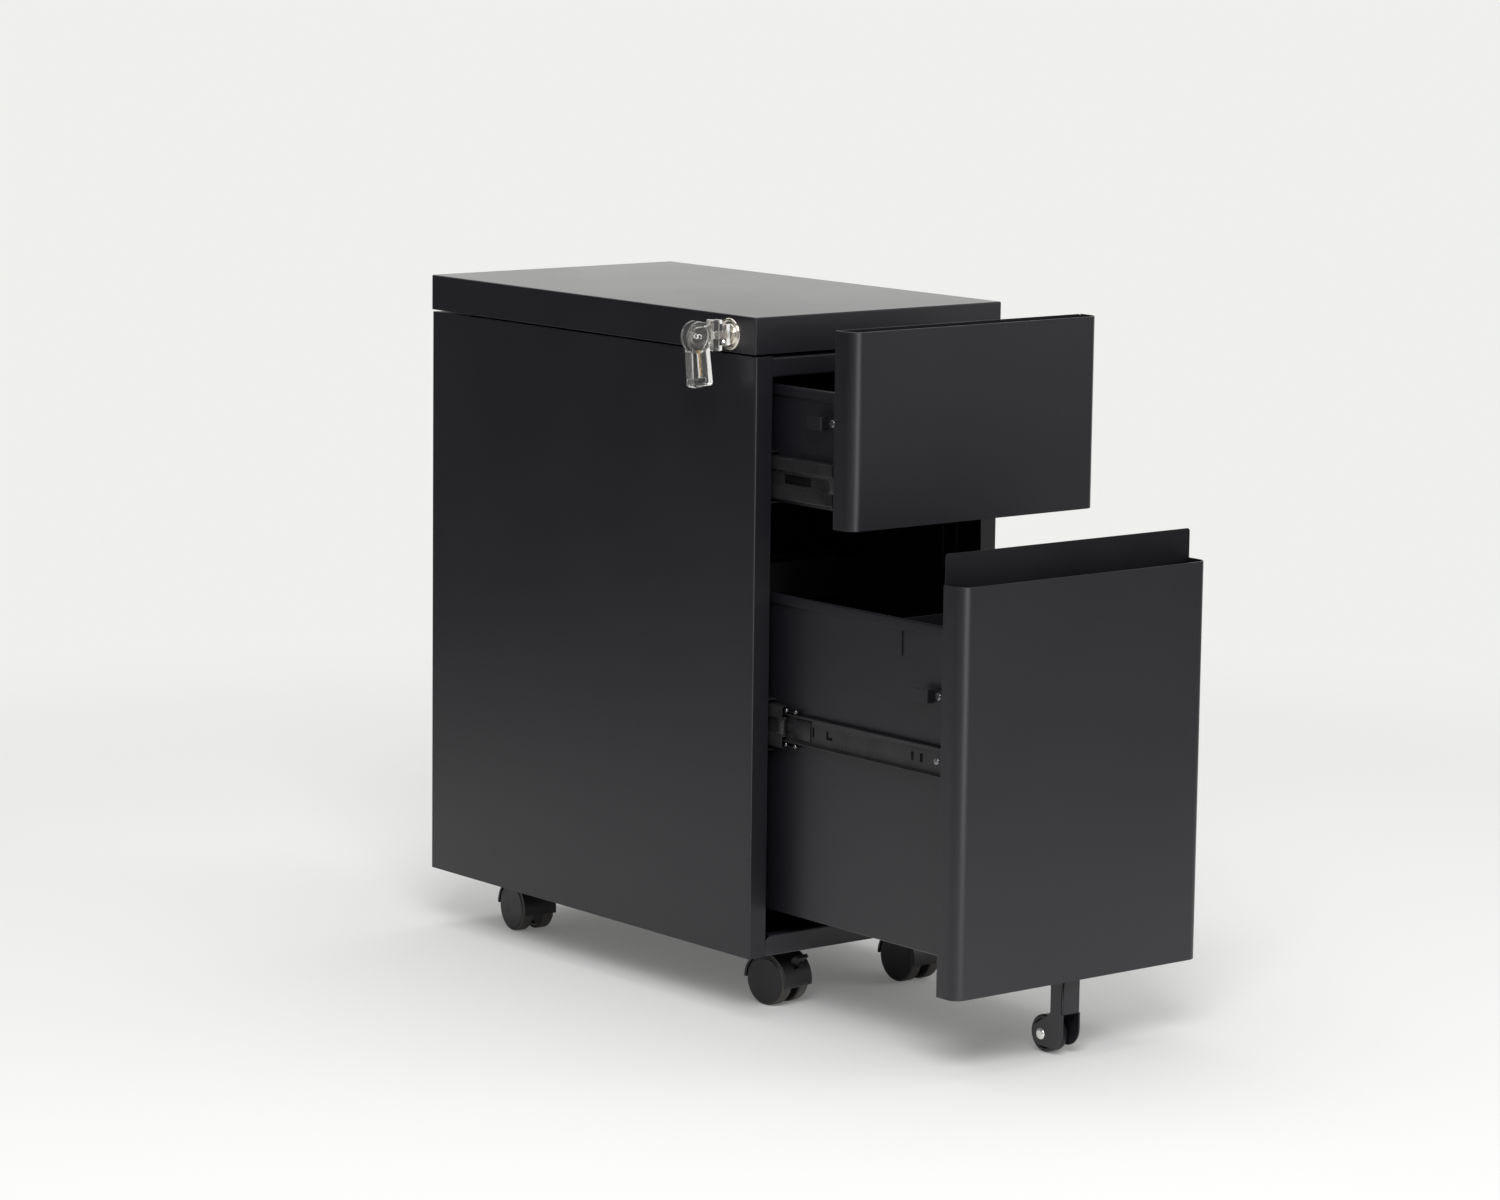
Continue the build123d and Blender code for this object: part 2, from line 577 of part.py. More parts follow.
def caster_hood(braked):
    """Hood over both wheels with a web between them, a boss for the kingpin and a slot for a brake lever."""
    axle = (-TRAIL, WHEEL_RADIUS)
    ring = hood_sector(HOOD_RADIUS) - Pos(*axle) * Circle(HOOD_INSIDE)
    web = hood_sector(HOOD_RADIUS) + Pos(*axle) * Circle(8.5)
    web += Pos(0, 41) * Rectangle(20, 22)
    hood = prism(ring, "x", -HOOD_HALF, HOOD_HALF) + prism(web, "x", -5, 5)
    boss = rod("z", (0, 0), 10, 30, HOOD_TOP)
    hood += boss - rod("x", axle, HOOD_INSIDE, -HOOD_HALF, HOOD_HALF)
    hood -= rod("z", (0, 0), PIN_RADIUS + RUNNING_GAP, HOOD_TOP - 23, HOOD_TOP)
    hood -= rod("x", axle, PIN_RADIUS + RUNNING_GAP, -5, 5)
    if braked:
        hood -= lever_frame() * block((-3.4, 3.4), (11, 32), (-5.6, 5.6))
        hood -= lever_frame() * rod("x", (LEVER_PIVOT, 0), 1.5 + RUNNING_GAP, -5, 5)
    return hood


def wheel_pair():
    """Two domed wheels with a ring groove, and the axle pressed into them."""
    rim = WHEEL_RADIUS
    half_section = outline([(5.6, PIN_RADIUS), (5.6, rim - 1.2), (6.8, rim), (16.6, rim), (17.8, rim - 1.2),
                            (18.0, 17), (17.2, 16.4), (17.2, 15), (18.2, 14.4), (18.4, 0), (16, 0),
                            (16, PIN_RADIUS)])
    wheel = Pos(0, -TRAIL, rim) * revolve(half_section, axis=Axis.X)
    axle = rod("x", (-TRAIL, rim), PIN_RADIUS, -16, 16)
    return group(wheel, mirrored(wheel), axle)


def brake_lever():
    """Rocking lever in the web, with its pivot pins and a foot tab outside the hood."""
    arm = block((-3, 3), (12.5, 31), (-2.5, 2.5)) + rod("x", (LEVER_PIVOT, 0), 1.5, -4.9, 4.9)
    tab = block((-9, 9), (30.5, 40), (-1.8, 1.8))
    tab = fillet(tab.edges().filter_by(Axis.Z), 2)
    return lever_frame() * (arm + tab)


# Anti-tip wheel, drawn with the lower drawer closed

def fork():
    """Channel under the lower front whose legs carry the anti-tip wheel."""
    half, sheet, front, back = 11.0, 1.5, -17.5, -0.8
    web_low = 40.6
    top = LOWER["front"][0]
    channel = [(-half, back), (-half, front), (half, front), (half, back)]
    body = prism(bent_sheet(channel, 2.5, Side.LEFT, sheet), "z", web_low, top)
    body += block((-half + sheet, half - sheet), (front + sheet, back), (top - sheet, top))
    toe = TIP_AXLE_Z - 10.9
    leg = outline([(front, web_low), (front, toe), (TIP_AXLE_Y, toe), (17.6, 27.0), (1.3, 37.5),
                   (back, web_low)])
    leg = fillet(leg.vertices().sort_by(Axis.X)[:2].sort_by(Axis.Y)[0], 18)
    leg += Pos(TIP_AXLE_Y, TIP_AXLE_Z) * Circle(10.9)
    body += both_sides(prism(leg, "x", half - sheet, half))
    return body - rod("x", (TIP_AXLE_Y, TIP_AXLE_Z), PIN_RADIUS, -half, half)


def tip_wheel():
    """Single wheel that hangs just above the floor."""
    rim = TIP_WHEEL_RADIUS
    bore = PIN_RADIUS + RUNNING_GAP
    section = outline([(0, bore), (0, rim), (6, rim), (7, rim - 1), (7, 8), (9.2, 7), (9.2, bore)])
    section += mirror(section, about=Plane.YZ)
    return Pos(0, TIP_AXLE_Y, TIP_AXLE_Z) * revolve(section, axis=Axis.X)


def rivet():
    """Rivet through the fork legs, with a low round head at each end."""
    head = rod("x", (TIP_AXLE_Y, TIP_AXLE_Z), 5.5, 11, 12.8)
    head = fillet(head.edges().group_by(Axis.X)[-1], 1.4)
    return rod("x", (TIP_AXLE_Y, TIP_AXLE_Z), PIN_RADIUS, -11, 11) + both_sides(head)


# Assembly

def carcass():
    """Every fixed piece, by name."""
    posts = [slide_post(y) for y in POST_STARTS]
    left_posts = [mirrored(post) for post in posts]
    left_posts[0] = left_posts[0] + bar_guides()
    pieces = {
        "side_panel_left": left_side_panel(),
        "side_panel_right": side_panel(),
        "back_panel": back_panel(),
        "base_pan": base_pan(),
        "top_front_rail": top_front_rail(),
        "top_cap": top_cap(),
        "slide_posts_left": group(*left_posts),
        "slide_posts_right": group(*posts),
        "carcass_screws": group(*carcass_screws()),
        "caster_plates": group(*[Pos(x, y, 0) * caster_plate() for _, x, y, _, _ in CASTERS]),
        "lock_housing": lock_housing(),
    }
    for name, drawer in (("upper", UPPER), ("lower", LOWER)):
        pieces[f"{name}_slide_right_outer"] = slide_outer(drawer["slide"])
        pieces[f"{name}_slide_left_outer"] = mirrored(slide_outer(drawer["slide"]))
    return pieces


def lock_and_key():
    """The turning and sliding pieces of the lock, and the key."""
    return {
        "lock_plug": lock_plug(),
        "lock_cam": lock_cam(),
        "lock_bar": lock_bar(),
        "key_blade": key_blade(),
        "key_block": key_block(),
        "key_handle": key_handle(),
        "key_spring": key_spring(),
    }


def drawer_pieces(name, drawer, tray):
    """Pieces that move with a drawer, closed."""
    member = slide_inner(drawer["slide"])
    return {
        f"{name}_drawer_tray": tray,
        f"{name}_drawer_back": drawer_back(drawer),
        f"{name}_drawer_front": drawer_front(drawer),
        f"{name}_inner_front": inner_front(drawer),
        f"{name}_lock_hook": lock_hook(drawer),
        f"{name}_drawer_screws": group(*drawer_screws(drawer)),
        f"{name}_slide_right_inner": member,
        f"{name}_slide_left_inner": mirrored(member),
    }


def slide_pieces(name, drawer, ratio, cage_fronts, inner_count):
    """Middle members and ball cages, each moved out by its share of the pull."""
    height, pull = drawer["slide"], drawer["pull"]
    middle = Pos(0, -ratio * pull, 0) * slide_middle(height)
    outer = Pos(0, -ratio / 2 * pull, 0) * outer_cage(height, cage_fronts[0])
    inner = Pos(0, -(1 + ratio) / 2 * pull, 0) * inner_cage(height, cage_fronts[1], inner_count)
    return {
        f"{name}_slide_right_middle": middle,
        f"{name}_slide_left_middle": mirrored(middle),
        f"{name}_outer_ball_cages": group(outer, mirrored(outer)),
        f"{name}_inner_ball_cages": group(inner, mirrored(inner)),
    }


def casters():
    """Hoods, wheel pairs and brake levers at their places."""
    pieces = {}
    for name, x, y, angle, braked in CASTERS:
        place = Pos(x, y, 0) * Rot(0, 0, angle)
        pieces[f"caster_hood_{name}"] = place * caster_hood(braked)
        pieces[f"caster_wheels_{name}"] = place * wheel_pair()
        if braked:
            pieces[f"brake_lever_{name}"] = place * brake_lever()
    return pieces


def whole_cabinet():
    """Every piece by name, in place, with the drawers pulled out."""
    pieces = carcass() | lock_and_key() | casters()
    upper = drawer_pieces("upper", UPPER, drawer_tray(UPPER))
    lower = drawer_pieces("lower", LOWER, lower_tray())
    lower["file_bars"] = group(*[file_bar(y) for y in FILE_BAR_PLACES])
    lower["fifth_wheel_fork"] = fork()
    lower["fifth_wheel"] = tip_wheel()
    lower["fifth_wheel_rivet"] = rivet()
    for drawer, members in ((UPPER, upper), (LOWER, lower)):
        for name, piece in members.items():
            pieces[name] = Pos(0, -drawer["pull"], 0) * piece
    pieces |= slide_pieces("upper", UPPER, UPPER_MIDDLE_RATIO, (160, 60), INNER_BALLS["count"])
    pieces |= slide_pieces("lower", LOWER, LOWER_MIDDLE_RATIO, (22, 106.3), LOWER_INNER_COUNT)
    return pieces


def main():
    """Move the origin under the middle of the whole and write each piece."""
    left = KEY_HINGE_X - KEY_HUB
    front = FRONT_FACE - LOWER["pull"]
    to_origin = Pos(-(left + CAP_HALF) / 2, -(front + DEPTH) / 2, 0)
    os.makedirs("parts", exist_ok=True)
    for name, piece in whole_cabinet().items():
        export_step(to_origin * piece, f"parts/{name}.step")


main()
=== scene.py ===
import json
import math

import bmesh
import bpy
from mathutils import Matrix, Vector

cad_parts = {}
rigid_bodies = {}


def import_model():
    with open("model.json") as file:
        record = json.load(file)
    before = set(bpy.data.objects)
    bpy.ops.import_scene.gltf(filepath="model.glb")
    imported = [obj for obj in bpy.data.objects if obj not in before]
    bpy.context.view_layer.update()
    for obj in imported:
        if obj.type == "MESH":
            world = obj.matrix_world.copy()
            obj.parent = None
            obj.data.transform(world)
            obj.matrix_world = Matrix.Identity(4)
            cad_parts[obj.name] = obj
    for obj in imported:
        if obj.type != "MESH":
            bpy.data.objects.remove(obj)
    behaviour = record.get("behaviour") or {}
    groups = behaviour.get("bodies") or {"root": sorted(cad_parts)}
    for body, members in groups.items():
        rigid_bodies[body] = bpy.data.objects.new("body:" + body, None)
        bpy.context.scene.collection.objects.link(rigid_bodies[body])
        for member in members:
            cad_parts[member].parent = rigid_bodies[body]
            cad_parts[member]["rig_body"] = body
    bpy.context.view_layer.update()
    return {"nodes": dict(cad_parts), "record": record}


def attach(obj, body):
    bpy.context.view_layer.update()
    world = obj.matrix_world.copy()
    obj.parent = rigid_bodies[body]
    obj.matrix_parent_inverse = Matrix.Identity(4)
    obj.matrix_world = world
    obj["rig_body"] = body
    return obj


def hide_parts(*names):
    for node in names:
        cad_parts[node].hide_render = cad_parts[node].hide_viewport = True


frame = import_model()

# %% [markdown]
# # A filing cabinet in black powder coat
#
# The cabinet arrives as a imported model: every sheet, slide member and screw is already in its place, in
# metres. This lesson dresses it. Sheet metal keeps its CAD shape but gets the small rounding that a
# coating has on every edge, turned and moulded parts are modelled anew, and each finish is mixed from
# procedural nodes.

MM = 0.001
NODES = frame["nodes"]

# %% [markdown]
# ## Where things are
#
# The maker's drawing counts millimetres from the middle of the carcass front on the floor: x to the
# right, y to the back, z up. The model's own origin lies elsewhere, under the middle of the whole object
# with its drawers open. One small function turns the first kind of place into the second, so that every
# piece can be modelled from the numbers of the drawing.

# %% From the drawing to the model
DRAWING_ORIGIN = Vector((27.0, -111.25, 0.0))
UPPER_PULL = 112.4
LOWER_PULL = 266.5


def spot(x, y, z):
    """A place on the drawing, in metres of the model."""
    return (Vector((x, y, z)) + DRAWING_ORIGIN) * MM


print("front edge of the carcass at", spot(0, 0, 0))

# %% [markdown]
# ## The camera
#
# The photograph was taken with a long lens, a little above the cabinet and well to its left. The camera
# is built from two angles and a distance: a back vector from the cabinet to the lens gives the direction,
# and a small roll takes up that the picture leans by less than a degree. A long lens keeps the verticals
# parallel, which is what makes the picture look like a catalogue shot.

# %% Camera at the photograph's angle
CAMERA_PLACE = Vector((-2.96446, -3.62887, 1.10385))
AZIMUTH = math.radians(-38.894)
ELEVATION = math.radians(8.854)
ROLL = math.radians(0.708)
FOCAL_LENGTH = 118.498
SENSOR_WIDTH = 36.0

level = math.cos(ELEVATION)
back = Vector((math.sin(AZIMUTH) * level, -math.cos(AZIMUTH) * level, math.sin(ELEVATION)))
right = Vector((0, 0, 1)).cross(back).normalized()
up = back.cross(right)
rolled_right = right * math.cos(ROLL) + up * math.sin(ROLL)
rolled_up = back.cross(rolled_right)
camera_data = bpy.data.cameras.new("catalogue_camera")
camera_data.lens = FOCAL_LENGTH
camera_data.sensor_fit = "HORIZONTAL"
camera_data.sensor_width = SENSOR_WIDTH
camera = bpy.data.objects.new("catalogue_camera", camera_data)
turn = Matrix((rolled_right, rolled_up, back)).transposed().to_4x4()
camera.matrix_world = Matrix.Translation(CAMERA_PLACE) @ turn
bpy.context.scene.collection.objects.link(camera)
bpy.context.scene.camera = camera
print("camera looks along", -back)

# %% [markdown]
# ## Small helpers for node trees
#
# Node trees are long to write by hand, so three helpers do the typing: one adds a node and fills in its
# sockets, one adds a Math node, and one maps a value from one range to another.

# %% Node helpers


def add_node(tree, kind, **values):
    """Add a node; a value is a number, a vector or a socket to link from."""
    node = tree.nodes.new(kind)
    for name, value in values.items():
        socket = node.inputs[name.replace("_", " ")]
        if isinstance(value, bpy.types.NodeSocket):
            tree.links.new(value, socket)
        else:
            socket.default_value = value
    return node


def calculate(tree, operation, first, second=0.0, third=0.0):
    """Add a Math node and return its result."""
    node = tree.nodes.new("ShaderNodeMath")
    node.operation = operation
    for socket, value in zip(node.inputs, (first, second, third)):
        if isinstance(value, bpy.types.NodeSocket):
            tree.links.new(value, socket)
        else:
            socket.default_value = value
    return node.outputs[0]


def ramp(tree, value, low, high, to_low=0.0, to_high=1.0, smooth=True):
    """Map a value smoothly from one range to another."""
    node = tree.nodes.new("ShaderNodeMapRange")
    node.interpolation_type = "SMOOTHSTEP" if smooth else "LINEAR"
    for socket, number in zip(node.inputs, (value, low, high, to_low, to_high)):
        if isinstance(number, bpy.types.NodeSocket):
            tree.links.new(number, socket)
        else:
            socket.default_value = number
    return node.outputs[0]


# %% [markdown]
# ## The studio
#
# Black paint shows hardly any colour of its own: what the eye reads is what it mirrors. The room is
# therefore built like a catalogue studio, out of four things that gloss meets: a grey room all round, a
# dark curtain on the left that keeps the side panel black, a white wall behind that the flat top mirrors
# at its grazing angle, and a bright strip in front that draws a soft line down the round bends of the
# drawer fronts. The camera and clear plastic see plain white in every direction, and diffuse surfaces get
# an even light.

# %% The room that gloss meets
BACKDROP_WHITE = 0.88
AMBIENT = 0.50
ROOM_GREY = 0.15
CURTAIN_DIRECTION = Vector((-0.63, 0.77, 0.0)).normalized()
CURTAIN_EDGE = (0.20, 0.80)
CURTAIN_BLACK = 0.025
WALL_DIRECTION = Vector((0.61, 0.78, 0.16)).normalized()
WALL_EDGE = (0.55, 0.85)
WALL_WHITE = 1.5
STRIP_DIRECTION = Vector((-0.19, -0.98, -0.05)).normalized()
STRIP_EDGE = (0.950, 0.990)
STRIP_WHITE = 3.0
AIR_TINT = (0.985, 0.985, 0.966, 1)


def towards(tree, direction, fixed):
    """How far a direction points along a fixed one, from -1 to 1."""
    facing = add_node(tree, "ShaderNodeVectorMath")
    facing.operation = "DOT_PRODUCT"
    facing.inputs[1].default_value = fixed
    tree.links.new(direction, facing.inputs[0])
    return facing.outputs["Value"]


def mirrored_room(tree, direction):
    """Brightness that gloss meets in a direction."""
    curtain = ramp(tree, towards(tree, direction, CURTAIN_DIRECTION), *CURTAIN_EDGE, ROOM_GREY, CURTAIN_BLACK)
    walled = ramp(tree, towards(tree, direction, WALL_DIRECTION), *WALL_EDGE, curtain, WALL_WHITE)
    return ramp(tree, towards(tree, direction, STRIP_DIRECTION), *STRIP_EDGE, walled, STRIP_WHITE)


def room_light(tree, direction):
    """White for the camera and clear plastic, the mirrored room for gloss, and even light for the rest."""
    path = tree.nodes.new("ShaderNodeLightPath")
    white = calculate(tree, "MAXIMUM", path.outputs["Is Camera Ray"], path.outputs["Is Transmission Ray"])
    glossy = path.outputs["Is Glossy Ray"]
    gloss = calculate(tree, "MULTIPLY", glossy, mirrored_room(tree, direction))
    rest = calculate(tree, "MULTIPLY", calculate(tree, "SUBTRACT", 1.0, glossy), AMBIENT)
    unlit = calculate(tree, "ADD", gloss, rest)
    kept = calculate(tree, "MULTIPLY", unlit, calculate(tree, "SUBTRACT", 1.0, white))
    return calculate(tree, "MULTIPLY_ADD", white, BACKDROP_WHITE, kept)


world = bpy.data.worlds.new("studio_air")
world.use_nodes = True
bpy.context.scene.world = world
tree = world.node_tree
tree.nodes.clear()
ray = tree.nodes.new("ShaderNodeTexCoord").outputs["Generated"]
air = add_node(tree, "ShaderNodeBackground", Color=AIR_TINT, Strength=room_light(tree, ray))
output = tree.nodes.new("ShaderNodeOutputWorld")
tree.links.new(air.outputs[0], output.inputs["Surface"])
bpy.context.scene.view_settings.view_transform = "Standard"
print("room grey", ROOM_GREY, "curtain", CURTAIN_BLACK, "wall", WALL_WHITE)

# %% [markdown]
# The floor is white paper. Near the cabinet it is a matt surface that takes the lamps and keeps the shadow,
# with a small share of glow mixed in that paints light into that shadow and lifts it. Further out it fades
# into a glow of the same brightness as the room, so that no horizon shows.

# %% Paper floor
PAPER_WHITE = 0.9
FLOOR_SIZE = 60.0
LIT_RADIUS = (0.95, 2.1)
# Painted light: the share of glow in the paper near the cabinet, which lightens the shadow there.
SHADOW_LIFT_GLOW = 0.12

paper = bpy.data.materials.new("studio_paper")
paper.use_nodes = True
tree = paper.node_tree
tree.nodes.clear()
place = tree.nodes.new("ShaderNodeTexCoord").outputs["Object"]
distance = add_node(tree, "ShaderNodeVectorMath")
distance.operation = "LENGTH"
tree.links.new(place, distance.inputs[0])
outwards = add_node(tree, "ShaderNodeVectorMath")
outwards.operation = "NORMALIZE"
tree.links.new(place, outwards.inputs[0])
far = ramp(tree, distance.outputs["Value"], *LIT_RADIUS, SHADOW_LIFT_GLOW, 1.0)
lit = add_node(tree, "ShaderNodeBsdfDiffuse", Color=(PAPER_WHITE, PAPER_WHITE, PAPER_WHITE, 1))
glow = add_node(tree, "ShaderNodeEmission", Color=AIR_TINT, Strength=room_light(tree, outwards.outputs[0]))
mix = tree.nodes.new("ShaderNodeMixShader")
tree.links.new(far, mix.inputs[0])
tree.links.new(lit.outputs[0], mix.inputs[1])
tree.links.new(glow.outputs[0], mix.inputs[2])
output = tree.nodes.new("ShaderNodeOutputMaterial")
tree.links.new(mix.outputs[0], output.inputs["Surface"])

bm = bmesh.new()
bmesh.ops.create_circle(bm, cap_ends=True, segments=96, radius=FLOOR_SIZE)
floor_mesh = bpy.data.meshes.new("paper_floor")
bm.to_mesh(floor_mesh)
bm.free()
floor = bpy.data.objects.new("paper_floor", floor_mesh)
floor.data.materials.append(paper)
bpy.context.scene.collection.objects.link(floor)
print("floor of", FLOOR_SIZE, "m radius, lit to", LIT_RADIUS, "m")

# %% [markdown]
# Three large soft boxes light the cabinet. The one overhead lights the paper and draws the bright line on
# every upper edge. The one behind the camera keeps the paper white right up to the cabinet. The one in
# front on the right gives the drawer fronts more light than the side panel.

# %% Soft boxes


def soft_box(name, place, target, size, power):
    """Square area lamp that faces a target."""
    lamp_data = bpy.data.lights.new(name, "AREA")
    lamp_data.shape = "SQUARE"
    lamp_data.size = size
    lamp_data.energy = power
    lamp = bpy.data.objects.new(name, lamp_data)
    aim = (Vector(target) - Vector(place)).to_track_quat("-Z", "Y")
    lamp.matrix_world = Matrix.Translation(place) @ aim.to_matrix().to_4x4()
    bpy.context.scene.collection.objects.link(lamp)
    return lamp


SOFT_BOXES = {
    "overhead_box": dict(place=(0.1, 0.2, 2.9), target=(0, 0, 0), size=2.4, power=27),
    "camera_side_box": dict(place=(-2.3, -2.8, 3.2), target=(0, 0, 0), size=2.0, power=105),
    "front_box": dict(place=(2.6, -2.4, 1.5), target=(0, 0, 0.35), size=1.6, power=15),
}
for name, how in SOFT_BOXES.items():
    soft_box(name, **how)
print(len(SOFT_BOXES), "soft boxes")

# %% [markdown]
# ## Finishes
#
# Every finish shares one effect: a fine grain with slow patches in it. On powder coat the grain is the
# orange peel of the baked powder, on moulded nylon it is the spark-eroded skin of the mould, on zinc it
# is the crystal of the plating. It is a node group with its scale as an input, built once, and each
# material gives it other numbers. The group puts out a height for the bump, a fine mask and a slow mask.

# %% Grain group
grain = bpy.data.node_groups.new("surface_grain", "ShaderNodeTree")
for name, value in (("Grain per metre", 1500.0), ("Patches per metre", 9.0), ("Sharpness", 0.5)):
    grain.interface.new_socket(name, in_out="INPUT", socket_type="NodeSocketFloat").default_value = value
for name in ("Height", "Fine mask", "Slow mask"):
    grain.interface.new_socket(name, in_out="OUTPUT", socket_type="NodeSocketFloat")
given = grain.nodes.new("NodeGroupInput")
result = grain.nodes.new("NodeGroupOutput")
place = grain.nodes.new("ShaderNodeTexCoord").outputs["Object"]
fine = add_node(grain, "ShaderNodeTexNoise", Vector=place, Scale=given.outputs["Grain per metre"], Detail=2.0)
bumps = add_node(grain, "ShaderNodeTexVoronoi", Vector=place, Scale=given.outputs["Grain per metre"])
slow = add_node(grain, "ShaderNodeTexNoise", Vector=place, Scale=given.outputs["Patches per metre"],
                Detail=3.0)
pebbles = ramp(grain, bumps.outputs["Distance"], 0.0, 0.7, 1.0, 0.0)
sharp = given.outputs["Sharpness"]
soft_part = calculate(grain, "MULTIPLY", fine.outputs["Fac"], calculate(grain, "SUBTRACT", 1.0, sharp))
height = calculate(grain, "MULTIPLY_ADD", pebbles, sharp, soft_part)
grain.links.new(height, result.inputs["Height"])
grain.links.new(fine.outputs["Fac"], result.inputs["Fine mask"])
grain.links.new(ramp(grain, slow.outputs["Fac"], 0.3, 0.7), result.inputs["Slow mask"])
print("grain group with", len(grain.nodes), "nodes")

# %% [markdown]
# A material is then a short recipe: two close colours that the masks mix, a range of roughness, the depth
# of the grain, and the plain values of the shader. Plain values are set on the shader's own sockets.

# %% Recipe for a finish
SLOW_SHARE = 0.6
MASK_RANGE = (0.2, 0.8)


def finish(name, colours, roughness, grain_size, grain_depth, patches=9.0, sharpness=0.5, **shader_values):
    """Grained material between two colours; grain size and depth are in millimetres."""
    material = bpy.data.materials.new(name)
    material.use_nodes = True
    tree = material.node_tree
    tree.nodes.clear()
    group = tree.nodes.new("ShaderNodeGroup")
    group.node_tree = grain
    group.inputs["Grain per metre"].default_value = 1 / (grain_size * MM)
    group.inputs["Patches per metre"].default_value = patches
    group.inputs["Sharpness"].default_value = sharpness
    colour = tree.nodes.new("ShaderNodeMix")
    colour.data_type = "RGBA"
    colour.inputs["A"].default_value = (*colours[0], 1)
    colour.inputs["B"].default_value = (*colours[1], 1)
    both = calculate(tree, "MULTIPLY_ADD", group.outputs["Slow mask"], SLOW_SHARE,
                     calculate(tree, "MULTIPLY", group.outputs["Fine mask"], 1.0 - SLOW_SHARE))
    tree.links.new(both, colour.inputs["Factor"])
    shader = add_node(tree, "ShaderNodeBsdfPrincipled", **shader_values)
    tree.links.new(colour.outputs["Result"], shader.inputs["Base Color"])
    tree.links.new(ramp(tree, both, *MASK_RANGE, *roughness, smooth=False), shader.inputs["Roughness"])
    bump = add_node(tree, "ShaderNodeBump", Strength=1.0, Distance=grain_depth * MM,
                    Height=group.outputs["Height"])
    tree.links.new(bump.outputs["Normal"], shader.inputs["Normal"])
    output = tree.nodes.new("ShaderNodeOutputMaterial")
    tree.links.new(shader.outputs[0], output.inputs["Surface"])
    return material


# %% [markdown]
# The powder coat is a fine matt texture in a slightly bluish black. The slides are zinc-plated and
# blackened, so they are metal with a soft gloss. Casters are nylon, a little duller than the coat.
# Nickel, steel, brass and the zinc of the rivet are metals whose gloss carries all the look. Four more
# finishes belong to single pieces: the inner sheets of the drawer fronts have a darker, duller copy of the
# coat, the end stops of the slides are grey nylon, the treads of the wheels are a lighter brownish that
# paints a highlight along the wheel's edge, and the plates and pads behind the windows and slots of the
# slides are a deep black that paints the shade there.

# %% The finishes of the cabinet
FINISHES = {
    "black_powder_coat": finish(
        "powder_coat", [(0.0068, 0.0068, 0.0102), (0.0083, 0.0083, 0.0122)], roughness=(0.40, 0.42),
        grain_size=1.4, grain_depth=0.022, sharpness=0.35, Specular_IOR_Level=0.68),
    "black_zinc_steel": finish(
        "black_zinc", [(0.040, 0.040, 0.043), (0.062, 0.062, 0.066)], roughness=(0.26, 0.38),
        grain_size=0.30, grain_depth=0.004, patches=40, Metallic=0.7),
    "ball_steel": finish(
        "ball_bearing_steel", [(0.16, 0.16, 0.165), (0.24, 0.24, 0.24)], roughness=(0.06, 0.12),
        grain_size=0.5, grain_depth=0.001, Metallic=1.0),
    "black_screw": finish(
        "dark_zinc_screw", [(0.22, 0.22, 0.225), (0.36, 0.36, 0.365)], roughness=(0.20, 0.34),
        grain_size=0.25, grain_depth=0.004, patches=200, Metallic=0.85),
    "nickel": finish(
        "bright_nickel", [(0.70, 0.65, 0.57), (0.82, 0.77, 0.69)], roughness=(0.10, 0.20),
        grain_size=0.7, grain_depth=0.003, patches=120, Metallic=0.92),
    "key_steel": finish(
        "milled_steel", [(0.66, 0.65, 0.63), (0.78, 0.77, 0.74)], roughness=(0.16, 0.28),
        grain_size=0.4, grain_depth=0.004, patches=200, Metallic=0.8),
    "brass_wire": finish(
        "brass_wire", [(0.62, 0.42, 0.15), (0.76, 0.54, 0.22)], roughness=(0.18, 0.30),
        grain_size=0.4, grain_depth=0.003, patches=300, Metallic=0.7),
    "caster_nylon": finish(
        "moulded_nylon", [(0.0095, 0.0090, 0.0108), (0.0140, 0.0134, 0.0156)], roughness=(0.36, 0.46),
        grain_size=0.45, grain_depth=0.010, patches=60, sharpness=0.6),
    "caster_tread": finish(
        "wheel_nylon", [(0.0105, 0.0100, 0.0122), (0.0155, 0.0148, 0.0176)], roughness=(0.40, 0.52),
        grain_size=0.35, grain_depth=0.008, patches=80, sharpness=0.4),
    "rivet_zinc": finish(
        "zinc_plate", [(0.80, 0.80, 0.79), (0.92, 0.92, 0.90)], roughness=(0.22, 0.34),
        grain_size=0.5, grain_depth=0.006, patches=250, Metallic=0.7),
}
# A darker, duller copy of the powder coat, used on the inner sheets of the drawer fronts.
DARKER_INNER_COAT = finish(
    "thin_powder_coat", [(0.0044, 0.0044, 0.0068), (0.0062, 0.0062, 0.0092)], roughness=(0.42, 0.52),
    grain_size=1.4, grain_depth=0.022, sharpness=0.35, Specular_IOR_Level=0.30)
GREY_NYLON = finish(
    "grey_nylon", [(0.026, 0.026, 0.028), (0.040, 0.040, 0.042)], roughness=(0.26, 0.38),
    grain_size=0.40, grain_depth=0.008, patches=70)
# Painted highlight: the lighter brownish colour of the treads stands in for the light along the wheels'
# edges.
TREAD_PAINTED_HIGHLIGHT = finish(
    "soft_tread", [(0.045, 0.041, 0.037), (0.062, 0.057, 0.051)], roughness=(0.48, 0.60),
    grain_size=0.35, grain_depth=0.010, patches=90)
# Painted shade: a deep black with little gloss, for the plates and pads that fill the shade behind the
# windows and slots of the slides.
PAINTED_SHADE_BLACK = finish(
    "deep_black_nylon", [(0.0022, 0.0022, 0.0024), (0.0035, 0.0035, 0.0037)], roughness=(0.55, 0.65),
    grain_size=0.40, grain_depth=0.008, patches=70, Specular_IOR_Level=0.15)
print(len(FINISHES), "finishes by slot and 4 more")

